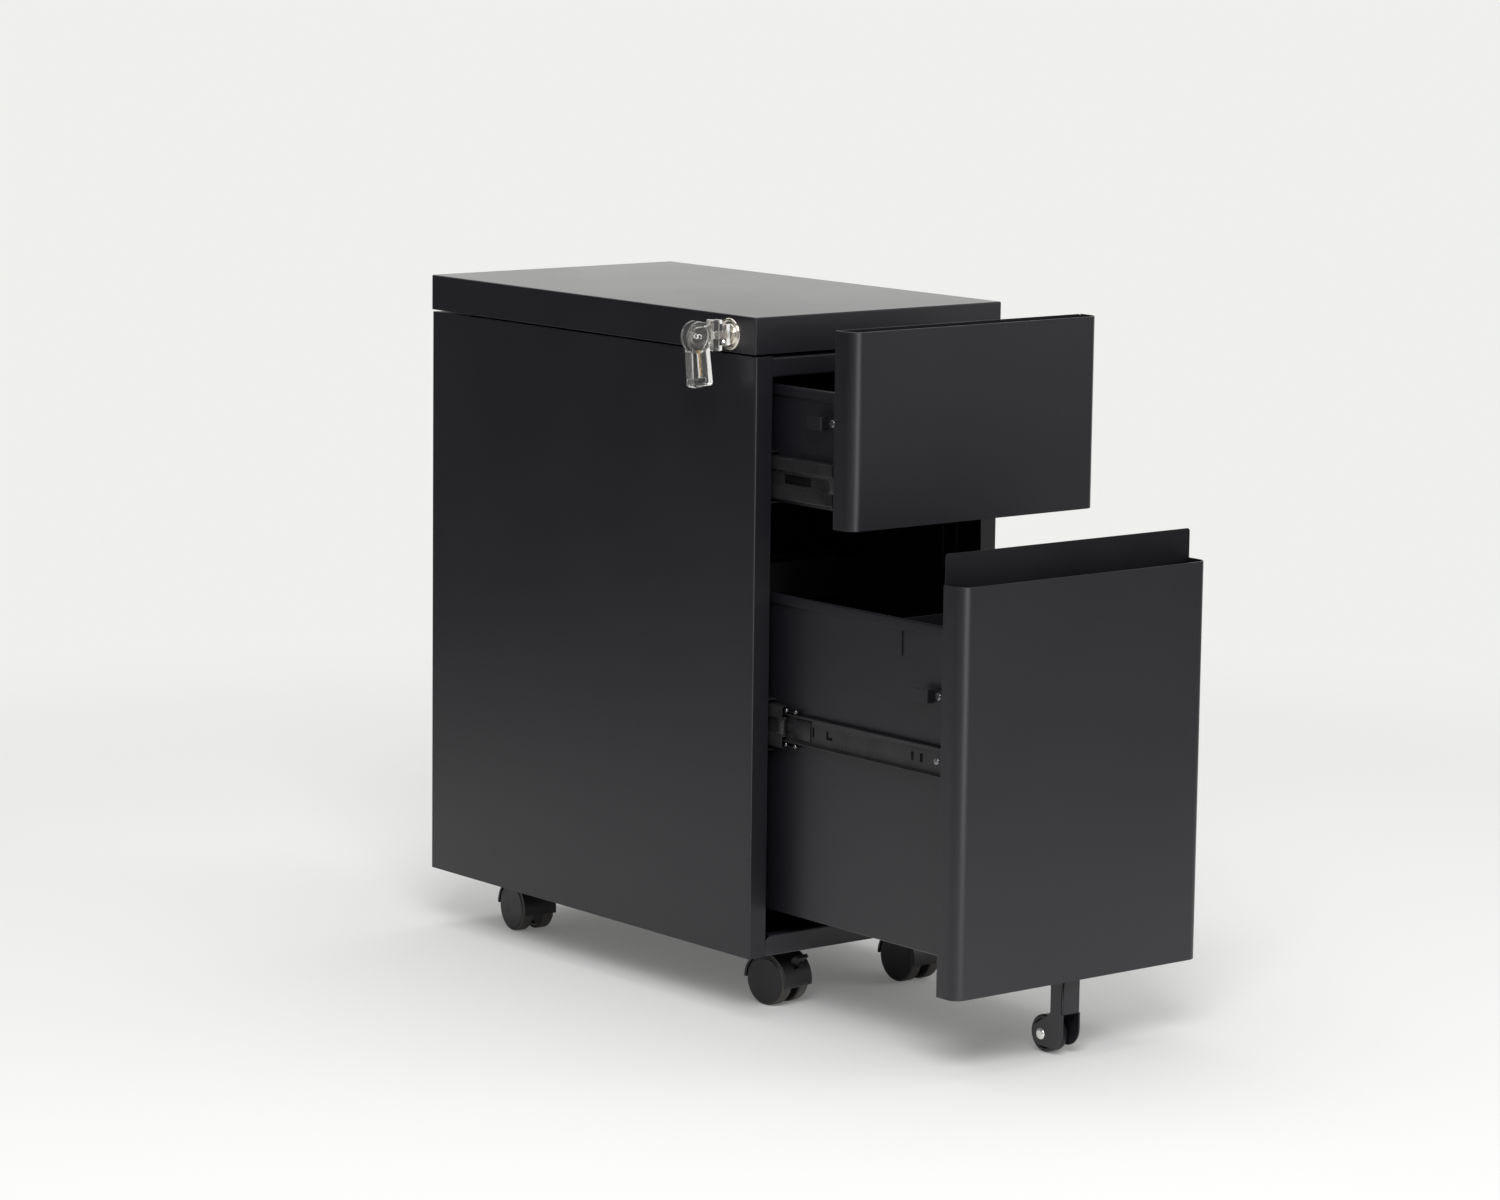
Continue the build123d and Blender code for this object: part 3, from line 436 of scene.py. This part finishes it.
# %% [markdown]
# Clear plastic isn't grained like the other finishes. It transmits nearly all of the light, with a faint
# frost on its skin from the mould. Its index of refraction is that of acrylic.

# %% Clear plastic
FROST = (0.01, 0.06)
FROST_GRAIN_PER_METRE = 900
FROST_PATCHES_PER_METRE = 90
FROST_DEPTH = 0.012
ACRYLIC_INDEX = 1.49

clear = bpy.data.materials.new("clear_acrylic")
clear.use_nodes = True
tree = clear.node_tree
tree.nodes.clear()
group = tree.nodes.new("ShaderNodeGroup")
group.node_tree = grain
group.inputs["Grain per metre"].default_value = FROST_GRAIN_PER_METRE
group.inputs["Patches per metre"].default_value = FROST_PATCHES_PER_METRE
frost = ramp(tree, group.outputs["Slow mask"], 0.0, 1.0, *FROST)
bump = add_node(tree, "ShaderNodeBump", Strength=1.0, Distance=FROST_DEPTH * MM,
                Height=group.outputs["Height"])
shader = add_node(tree, "ShaderNodeBsdfPrincipled", Base_Color=(0.97, 0.965, 0.95, 1), Roughness=frost,
                  Transmission_Weight=0.97, IOR=ACRYLIC_INDEX, Normal=bump.outputs["Normal"])
output = tree.nodes.new("ShaderNodeOutputMaterial")
tree.links.new(shader.outputs[0], output.inputs["Surface"])
FINISHES["clear_plastic"] = clear
print("clear plastic with a frost of", FROST)

# %% [markdown]
# ## Which finish goes where
#
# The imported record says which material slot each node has. It is read from there, so that a new piece
# always carries the same slot as the node that it stands for.

# %% Slots from the record
SLOT_OF = {part["node"]: part["material_slot"] for part in frame["record"]["subparts"]}
for node in NODES.values():
    for slot in node.material_slots:
        slot.material = FINISHES[SLOT_OF[node.name]]
print("slots in use:", sorted(set(SLOT_OF.values())))

# %% [markdown]
# ## Bringing a piece into the scene
#
# A finished bmesh becomes an object at the origin, with its place in its mesh. Doubles are merged and the
# normals turned outwards first. Then it rides on the body of the node that it stands for, takes over that
# node's slot, and hides it.

# %% From bmesh to piece
MERGE_GAP = 0.002
SHARP_ANGLE = math.radians(32)


def add_piece(name, bm, node_name, **how):
    """Make an object of a bmesh and dress it as, or beside, a CAD node."""
    bmesh.ops.remove_doubles(bm, verts=bm.verts, dist=MERGE_GAP * MM)
    bmesh.ops.recalc_face_normals(bm, faces=bm.faces)
    mesh = bpy.data.meshes.new(name)
    bm.to_mesh(mesh)
    bm.free()
    return dress(bpy.data.objects.new(name, mesh), node_name, **how)


def dress(piece, node_name, stands_for=True, slot_name=None, look=None):
    """Shade a piece smooth up to sharp edges, finish it, and let it ride with a node or stand for it."""
    slot_name = slot_name or SLOT_OF[node_name]
    piece.data.materials.clear()
    piece.data.materials.append(look or FINISHES[slot_name])
    piece.data.shade_smooth()
    piece.data.set_sharp_from_angle(angle=SHARP_ANGLE)
    bpy.context.scene.collection.objects.link(piece)
    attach(piece, NODES[node_name]["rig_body"])
    if stands_for:
        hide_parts(node_name)
    return piece


# %% [markdown]
# ## Coated sheet metal
#
# On the real cabinet a sheared edge is deburred and then carries about a tenth of a millimetre of baked
# powder, so it is never razor sharp: it catches a thin line of light. The CAD solids have exact corners.
# Each sheet is therefore copied, its triangles are merged back into flat faces, and a narrow bevel
# modifier rounds the edges. Each edge gets a bevel weight: one where the faces meet at a real corner,
# else zero. Where a bend runs out at a shallow angle its very short edges are left out, because a bevel
# has no room there and would shoot out. Hardened normals keep the large faces flat while the bevel strips
# shade round.

# %% Rounded copies of the sheets
FLAT_ANGLE = math.radians(0.6)
CORNER_ANGLE = math.radians(40)


def solid_mesh(node_name):
    """Bmesh of a CAD node, merged and with its flat faces in one piece."""
    bm = bmesh.new()
    bm.from_mesh(NODES[node_name].data)
    bmesh.ops.remove_doubles(bm, verts=bm.verts, dist=MERGE_GAP * MM)
    bmesh.ops.dissolve_limit(bm, angle_limit=FLAT_ANGLE, verts=bm.verts, edges=bm.edges, delimit={"NORMAL"})
    return bm


def rounded_piece(bm, name, node_name, width, segments=2, shortest=0.0, look=None):
    """Piece with rounded corners; width and the shortest edge that is rounded are in millimetres."""
    weight = bm.edges.layers.float.new("bevel_weight_edge")
    for edge in bm.edges:
        corner = edge.calc_face_angle(0) > CORNER_ANGLE
        edge[weight] = 1.0 if corner and edge.calc_length() > shortest * MM else 0.0
    mesh = bpy.data.meshes.new(name)
    bm.to_mesh(mesh)
    bm.free()
    piece = dress(bpy.data.objects.new(name, mesh), node_name, look=look)
    bevel = piece.modifiers.new("edge", "BEVEL")
    bevel.width = width * MM
    bevel.segments = segments
    bevel.profile = 0.5
    bevel.material = -1
    bevel.limit_method = "WEIGHT"
    bevel.use_clamp_overlap = False
    bevel.harden_normals = True
    return piece


def rounded_copy(node_name, width, suffix="coated", **how):
    """Copy of a CAD node with rounded edges."""
    return rounded_piece(solid_mesh(node_name), f"{node_name}_{suffix}", node_name, width, **how)


RUN_OUTS = ("base_pan", "fifth_wheel_fork")
DARKER_COATED_SHEETS = ("upper_inner_front", "lower_inner_front")
SHORTEST_AT_RUN_OUT = 1.0
SHEETS = {
    "top_cap": 0.45, "side_panel_left": 0.50, "side_panel_right": 0.50, "back_panel": 0.25,
    "base_pan": 0.25, "top_front_rail": 0.50, "upper_drawer_front": 0.30, "lower_drawer_front": 0.30,
    "upper_inner_front": 0.30, "lower_inner_front": 0.30, "upper_drawer_tray": 0.20,
    "lower_drawer_tray": 0.20, "upper_drawer_back": 0.20, "lower_drawer_back": 0.20,
    "upper_lock_hook": 0.25, "lower_lock_hook": 0.25, "file_bars": 0.20, "fifth_wheel_fork": 0.25,
    "lock_bar": 0.20, "slide_posts_left": 0.20, "slide_posts_right": 0.20,
}
for node_name, width in SHEETS.items():
    rounded_copy(node_name, width, shortest=SHORTEST_AT_RUN_OUT if node_name in RUN_OUTS else 0.0,
                 look=DARKER_INNER_COAT if node_name in DARKER_COATED_SHEETS else None)
print(len(SHEETS), "coated sheets")

# %% [markdown]
# The slide members are stamped from thinner sheet, and the hoods and levers of the casters are moulded
# with soft corners. All are copied in the same way, each with its own width of rounding.

# %% Slides and moulded hoods
STAMPED_EDGE = 0.18
MOULDED_EDGE = 0.5
METAL_EDGE = 0.25
for drawer in ("upper", "lower"):
    for side in ("left", "right"):
        for member in ("outer", "middle", "inner"):
            rounded_copy(f"{drawer}_slide_{side}_{member}", STAMPED_EDGE, suffix="stamped")
for corner in ("front_left", "front_right", "back_left", "back_right"):
    rounded_copy(f"caster_hood_{corner}", MOULDED_EDGE, segments=3, suffix="moulded")
for corner in ("front_left", "front_right"):
    rounded_copy(f"brake_lever_{corner}", MOULDED_EDGE, segments=3, suffix="moulded")
for node_name in ("caster_plates", "lock_plug", "lock_cam"):
    rounded_copy(node_name, METAL_EDGE, suffix="finished")
print("slides, hoods, levers and lock parts")

# %% [markdown]
# ## Turned parts
#
# Wheels, the lock ring and the rivet are bodies of revolution. Their half section is drawn as a line of
# points from the axis out and back, the corners of that line are rounded with a vertex bevel, and spin
# turns it once round. Rounding the line before it is turned costs nothing and gives clean rings of faces.

# %% Lathe


def turned(section, roundness, steps=72):
    """Spin a section round the x axis; section is (x, radius) in millimetres, roundness in millimetres."""
    bm = bmesh.new()
    points = [bm.verts.new((x * MM, 0, radius * MM)) for x, radius in section]
    for first, second in zip(points, points[1:]):
        bm.edges.new((first, second))
    corners = [vert for vert in points if len(vert.link_edges) == 2]
    bmesh.ops.bevel(bm, geom=corners, offset=roundness * MM, offset_type="OFFSET", segments=3, profile=0.5,
                    affect="VERTICES", material=-1)
    bmesh.ops.spin(bm, geom=bm.verts[:] + bm.edges[:], cent=(0, 0, 0), axis=(1, 0, 0), angle=math.tau,
                   steps=steps, use_merge=True, use_duplicate=False)
    bmesh.ops.remove_doubles(bm, verts=bm.verts, dist=MERGE_GAP * MM)
    return bm


def moved(bm, place, angle=0.0):
    """Turn a bmesh about z and then move it to a place."""
    matrix = Matrix.Translation(place) @ Matrix.Rotation(angle, 4, "Z")
    bmesh.ops.transform(bm, matrix=matrix, verts=bm.verts)
    return bm


def joined(*parts):
    """One bmesh with the faces of several."""
    whole = bmesh.new()
    for part in parts:
        mesh = bpy.data.meshes.new("part")
        part.to_mesh(mesh)
        part.free()
        whole.from_mesh(mesh)
        bpy.data.meshes.remove(mesh)
    return whole


# %% [markdown]
# ## Caster wheels
#
# Each caster has two nylon wheels on one steel axle. The outer face is a plain flat disc, and the inner side
# is hollowed, with a hub for the axle. The tread is a ring of softer plastic moulded round the wheel. Only
# its rounded shoulder shows beside the disc, and it is a piece with a finish of its own, a lighter brownish
# that paints a highlight there as a thin pale arc.

# %% Wheels of the casters
WHEEL_RADIUS = 24.0
TRAIL = 20.0
CASTERS = {"front_left": (-84, 60, 8), "front_right": (84, 60, 1), "back_left": (-84, 458, -6),
           "back_right": (84, 458, 12)}
WHEEL_SECTION = [(5.6, 3.0), (5.6, 7.5), (9.5, 8.5), (9.5, 18.5), (5.6, 20.5), (5.6, 22.6), (16.6, 22.6),
                 (17.6, 22.2), (18.25, 21.6), (18.4, 20.8), (18.4, 0.0)]
WHEEL_ROUND = 0.35
TREAD_SECTION = [(5.9, 22.2), (5.9, 23.2), (6.8, 24.0), (16.4, 24.0), (17.6, 23.4), (17.9, 22.5),
                 (17.5, 22.1), (5.9, 22.2)]
TREAD_ROUND = 0.25
AXLE_SECTION = [(-16.5, 0), (-16.5, 2.6), (-16.1, 3.0), (16.1, 3.0), (16.5, 2.6), (16.5, 0)]
AXLE_ROUND = 0.1


def both_ways(section, roundness):
    """A turned part and its mirror image across the middle of the wheel pair."""
    return turned(section, roundness), turned([(-x, radius) for x, radius in section], roundness)


for corner, (x, y, angle) in CASTERS.items():
    pair = joined(*both_ways(WHEEL_SECTION, WHEEL_ROUND), turned(AXLE_SECTION, AXLE_ROUND, steps=32))
    treads = joined(*both_ways(TREAD_SECTION, TREAD_ROUND))
    for whole in (pair, treads):
        moved(whole, Vector((0, -TRAIL, WHEEL_RADIUS)) * MM)
        moved(whole, spot(x, y, 0), math.radians(angle))
    add_piece(f"wheels_{corner}_turned", pair, f"caster_wheels_{corner}")
    # The treads carry the painted highlight as their finish.
    add_piece(f"treads_{corner}_turned", treads, f"caster_wheels_{corner}", stands_for=False,
              look=TREAD_PAINTED_HIGHLIGHT)
print("four wheel pairs with their treads")

# %% [markdown]
# ## Anti-tip wheel and its rivet
#
# The small wheel under the lower front hangs just clear of the floor. It is a plain nylon wheel with a
# sunk face on each side, on a bright zinc rivet whose low round head is the one light spot down there.

# %% Fifth wheel
TIP_AXLE_Y = 11.7
TIP_AXLE_LEVEL = 17.8
TIP_WHEEL = spot(0, TIP_AXLE_Y - LOWER_PULL, TIP_AXLE_LEVEL)
TIP_SECTION = [(0, 3.05), (9.2, 3.05), (9.2, 6.6), (7.4, 7.6), (5.2, 8.6), (5.2, 13.2), (7.0, 14.0),
               (7.0, 16.4), (6.0, 17.5), (-6.0, 17.5), (-7.0, 16.4), (-7.0, 14.0), (-5.2, 13.2), (-5.2, 8.6),
               (-7.4, 7.6), (-9.2, 6.6), (-9.2, 3.05), (0, 3.05)]
RIVET_SECTION = [(-12.8, 0), (-12.6, 3.2), (-12.0, 4.8), (-11.0, 5.5), (-11.0, 3.0), (11.0, 3.0), (11.0, 5.5),
                 (12.0, 4.8), (12.6, 3.2), (12.8, 0)]
RIVET_ROUND = 0.12
add_piece("tip_wheel_turned", moved(turned(TIP_SECTION, WHEEL_ROUND), TIP_WHEEL), "fifth_wheel")
add_piece("rivet_turned", moved(turned(RIVET_SECTION, RIVET_ROUND, steps=48), TIP_WHEEL), "fifth_wheel_rivet")
print("fifth wheel at", TIP_WHEEL)

# %% [markdown]
# ## Lock ring
#
# The lock is a nickel cam lock. Its visible part is a stepped ring: a bright outer bead, a sunk channel,
# and a collar round the plug. All of it is one turned part with the barrel that runs inwards through the
# cap.

# %% Lock ring and barrel
LOCK_Y = 37.2
LOCK_LEVEL = 643.8
LOCK_AXIS = spot(0, LOCK_Y, LOCK_LEVEL)
LOCK_SECTION = [(-129, 6.5), (-129, 8.9), (-129.4, 9.3), (-151, 9.3), (-151, 15.0), (-152.2, 15.0),
                (-153.4, 14.0), (-153.4, 12.9), (-152.2, 11.9), (-152.2, 10.3), (-153.3, 9.6), (-153.3, 8.2),
                (-152.6, 7.4), (-152.6, 6.5), (-129, 6.5)]
LOCK_ROUND = 0.18
add_piece("lock_ring_turned", moved(turned(LOCK_SECTION, LOCK_ROUND, steps=96), LOCK_AXIS), "lock_housing")
print("lock axis at", LOCK_AXIS)

# %% [markdown]
# ## The key
#
# The key folds. A steel blade is moulded into a clear block, and a clear grip hangs from a hinge on that
# block with a brass-coloured spring in its stem. The block and the grip keep their solids' shapes with
# soft moulded corners. The block's solid has a pocket for the blade. In clear plastic that pocket would
# look like an air gap, so its faces are deleted, its mouth is closed, and the blade sits straight in the
# plastic.

# %% Clear block and grip
POCKET = (spot(-172.1, 36.1, 640.2), spot(-155.05, 38.3, 647.4))
CLEAR_EDGE = 0.4
BLADE_EDGE = 0.25


def in_pocket(point):
    """Whether a point lies in the pocket for the blade."""
    return all(low < along < high for low, along, high in zip(POCKET[0], point, POCKET[1]))


bm = solid_mesh("key_block")
inside_pocket = [face for face in bm.faces if in_pocket(face.calc_center_median())]
bmesh.ops.delete(bm, geom=inside_pocket, context="FACES")
bmesh.ops.holes_fill(bm, edges=[edge for edge in bm.edges if edge.is_boundary], sides=12)
bmesh.ops.recalc_face_normals(bm, faces=bm.faces)
rounded_piece(bm, "key_block_clear", "key_block", CLEAR_EDGE, segments=3)
rounded_copy("key_handle", CLEAR_EDGE, segments=3, suffix="clear")
rounded_copy("key_blade", BLADE_EDGE, suffix="milled")
print("key parts;", len(inside_pocket), "faces of the pocket taken out")

# %% [markdown]
# The spring is a real helix. A small circle of wire is spun round the spring's own axis while it steps
# along it, which is the screw motion of the spin operator.

# %% Spring
KEY_HINGE_X = -191.0
KEY_HINGE = spot(KEY_HINGE_X, LOCK_Y, LOCK_LEVEL)
KEY_TILT = math.radians(-6)
WIRE_RADIUS = 0.35
COIL_RADIUS = 1.62
TURNS = 24
SPRING_ENDS = (-37.0, -12.8)
STEPS_PER_TURN = 20

bm = bmesh.new()
start = Matrix.Translation(Vector((COIL_RADIUS, 0, SPRING_ENDS[0] + WIRE_RADIUS)) * MM)
start = start @ Matrix.Rotation(math.radians(90), 4, "X")
bmesh.ops.create_circle(bm, cap_ends=False, segments=8, radius=WIRE_RADIUS * MM, matrix=start)
rise = (SPRING_ENDS[1] - SPRING_ENDS[0] - 2 * WIRE_RADIUS) / (TURNS * STEPS_PER_TURN)
bmesh.ops.spin(bm, geom=bm.verts[:] + bm.edges[:], cent=(0, 0, 0), axis=(0, 0, 1), dvec=(0, 0, rise * MM),
               angle=math.tau * TURNS, steps=TURNS * STEPS_PER_TURN, use_merge=False, use_duplicate=False)
bmesh.ops.holes_fill(bm, edges=[edge for edge in bm.edges if edge.is_boundary], sides=8)
bmesh.ops.transform(bm, matrix=Matrix.Rotation(KEY_TILT, 4, "Y"), verts=bm.verts)
add_piece("spring_wound", moved(bm, KEY_HINGE), "key_spring")
print("spring of", TURNS, "turns, rising", round(rise * STEPS_PER_TURN, 2), "mm a turn")

# %% [markdown]
# ## Screws
#
# The screws are pan heads with a cross recess. Shank and head are turned on the lathe up to an open ring
# on top of the head. The cross is a polygon with four arms; bridge_loops spans the ring to it although
# the two loops have different numbers of points, and an inset with a negative depth sinks the recess with
# sloping walls. One screw is made once and copied to every place, pointing where the drawing says.

# %% One screw and all its places
HEAD_TOP = 1.0
SCREW_SECTION = [(-5.0, 0), (-5.0, 1.5), (-4.5, 1.95), (0, 1.95), (0, 3.5), (0.40, 3.5), (0.80, 3.15),
                 (HEAD_TOP, 2.5)]
SCREW_ROUND = 0.08
CROSS_REACH = 1.75
CROSS_HALF = 0.45
RECESS_DEPTH = 0.65
RECESS_SLOPE = 0.12
SCREW_TWIST = math.radians(37)


def cross_screw():
    """Screw along x, its head standing on the origin."""
    bm = turned(SCREW_SECTION, SCREW_ROUND, steps=24)
    ring = [edge for edge in bm.edges if edge.is_boundary]
    a, b = CROSS_HALF, CROSS_REACH
    arms = [(a, b), (a, a), (b, a), (b, -a), (a, -a), (a, -b),
            (-a, -b), (-a, -a), (-b, -a), (-b, a), (-a, a), (-a, b)]
    cross = bm.faces.new([bm.verts.new((HEAD_TOP * MM, y * MM, z * MM)) for y, z in arms])
    bmesh.ops.bridge_loops(bm, edges=ring + list(cross.edges))
    bmesh.ops.recalc_face_normals(bm, faces=bm.faces)
    bmesh.ops.inset_region(bm, faces=[cross], thickness=RECESS_SLOPE * MM, depth=-RECESS_DEPTH * MM)
    return bm


def screws_at(places):
    """All screws of one node; each place is a point and the direction that the head looks in."""
    copies = []
    for number, (point, direction) in enumerate(places):
        screw = cross_screw()
        turn = Vector(direction).to_track_quat("X", "Z").to_matrix().to_4x4()
        twist = Matrix.Rotation(SCREW_TWIST * number, 4, "X")
        matrix = Matrix.Translation(spot(*point)) @ turn @ twist
        bmesh.ops.transform(screw, matrix=matrix, verts=screw.verts)
        copies.append(screw)
    return joined(*copies)


SIDES = (-1, 1)
DRAWERS = {"upper": {"slide": 512.3, "hook": 569.05, "pull": UPPER_PULL},
           "lower": {"slide": 279.0, "hook": 338.15, "pull": LOWER_PULL}}
MEMBER_FACE = 118.2
HOOK_SCREW_Y = 39.5
MEMBER_SCREWS = (40.3, 430.0)
CAP_SCREW_HALF = 140
CAP_SCREW_LEVEL = 625.8
CAP_SCREWS = (60, 456)
POST_FACE = 128.8
POST_SCREWS = (70, 435)
PLATE_LEVEL = 55.5
PLATE_SCREWS = (-14, 14)

for drawer, sizes in DRAWERS.items():
    pull = sizes["pull"]
    places = [((-MEMBER_FACE, HOOK_SCREW_Y - pull, sizes["hook"]), (-1, 0, 0))]
    places += [((side * MEMBER_FACE, y - pull, sizes["slide"]), (side, 0, 0))
               for side in SIDES for y in MEMBER_SCREWS]
    add_piece(f"{drawer}_drawer_screws_turned", screws_at(places), f"{drawer}_drawer_screws")
places = [((side * CAP_SCREW_HALF, y, CAP_SCREW_LEVEL), (0, 0, -1)) for side in SIDES for y in CAP_SCREWS]
places += [((side * POST_FACE, y, sizes["slide"]), (-side, 0, 0))
           for side in SIDES for sizes in DRAWERS.values() for y in POST_SCREWS]
places += [((x + dx, y + dy, PLATE_LEVEL), (0, 0, -1))
           for x, y, _ in CASTERS.values() for dx in PLATE_SCREWS for dy in PLATE_SCREWS]
add_piece("carcass_screws_turned", screws_at(places), "carcass_screws")
print(len(places), "screws in the carcass")

# %% [markdown]
# ## Stops, levers and plates of painted shade on the slides
#
# Each middle member ends in a moulded nylon stop that clips round its centre strip, with a deep black plate
# behind the window of the strip that paints the shade in it. Each drawer member carries a flat black lever
# that releases the drawer, and deep black pads behind its slots that paint the shade in them. All are drawn
# as a flat outline beside the slide and extruded across it. They are small, but they are what makes an open
# slide look like one: a grey knuckle, a window in painted shade, a dark tongue and slots darkened by painted
# shade.

# %% Stops, levers and plates of painted shade
SLIDE_FACE = 130.0
MIDDLE_SHARE = {"upper": 0.77, "lower": 0.068}
STOP = dict(
    outline=[(3.0, -9.2), (3.0, 9.2), (9.5, 9.2), (12.5, 7.4), (12.5, 6.0), (8.6, 4.4), (8.6, -4.4),
             (12.5, -6.0), (12.5, -7.4), (9.5, -9.2)],
    depths=(5.3, 10.45), roundness=0.35)
# Painted shade: a deep black plate behind the window of the middle member's strip.
WINDOW_SHADE = dict(outline=[(30, -5.4), (30, 5.4), (80, 5.4), (80, -5.4)], depths=(7.7, 8.7), roundness=0.2)
LEVER = dict(
    outline=[(218, -9.5), (218, 9.5), (238, 9.5), (243, 4.2), (281, 3.2), (281, -3.2), (243, -4.2),
             (238, -9.5)],
    depths=(10.6, 11.75), roundness=0.25)
# Painted shade: deep black pads behind the slots of the drawer member.
SLOT_SHADE_OUTLINES = [
    [(213.2, -4.6), (213.2, 4.6), (216.4, 4.6), (216.4, -4.6)],
    [(186.9, -4.1), (186.9, -0.9), (192.9, -0.9), (192.9, 4.1), (196.1, 4.1), (196.1, -4.1)],
    [(72.4, -4.1), (72.4, 4.1), (75.6, 4.1), (75.6, -4.1)],
    [(59.4, -4.1), (59.4, 4.1), (63.6, 4.1), (63.6, -4.1)]]
SLOT_SHADE = dict(depths=(12.3, 12.95), roundness=0.1)


def flat_piece(side, pull, level, outline, depths, roundness):
    """Outline of (y, height) points extruded between two depths inwards from the slide plane."""
    bm = bmesh.new()
    near = side * (SLIDE_FACE - depths[0])
    corners = [bm.verts.new(spot(near, y - pull, level + height)) for y, height in outline]
    grown = bmesh.ops.extrude_face_region(bm, geom=[bm.faces.new(corners)])["geom"]
    far_side = [item for item in grown if isinstance(item, bmesh.types.BMVert)]
    bmesh.ops.translate(bm, verts=far_side, vec=(side * (depths[0] - depths[1]) * MM, 0, 0))
    bmesh.ops.recalc_face_normals(bm, faces=bm.faces)
    sharp = [edge for edge in bm.edges if edge.calc_face_angle(0) > CORNER_ANGLE]
    bmesh.ops.bevel(bm, geom=sharp, offset=roundness * MM, offset_type="OFFSET", segments=2, profile=0.5,
                    affect="EDGES", material=-1)
    return bm


for drawer, sizes in DRAWERS.items():
    level = sizes["slide"]
    out = sizes["pull"]
    part_out = MIDDLE_SHARE[drawer] * out
    for side, side_name in zip(SIDES, ("left", "right")):
        middle = f"{drawer}_slide_{side_name}_middle"
        inner = f"{drawer}_slide_{side_name}_inner"
        as_nylon = {"stands_for": False, "slot_name": "caster_nylon"}
        stop = flat_piece(side, part_out, level, **STOP)
        add_piece(f"{drawer}_end_stop_{side_name}", stop, middle, look=GREY_NYLON, **as_nylon)
        window_shade = flat_piece(side, part_out, level, **WINDOW_SHADE)
        add_piece(f"{drawer}_latch_plate_{side_name}", window_shade, middle, look=PAINTED_SHADE_BLACK, **as_nylon)
        lever = flat_piece(side, out, level, **LEVER)
        add_piece(f"{drawer}_release_lever_{side_name}", lever, inner, **as_nylon)
        pads = joined(*[flat_piece(side, out, level, outline, **SLOT_SHADE) for outline in SLOT_SHADE_OUTLINES])
        add_piece(f"{drawer}_catch_pads_{side_name}", pads, inner, look=PAINTED_SHADE_BLACK, **as_nylon)
print("stops, latch plates, levers and pads on four slides")
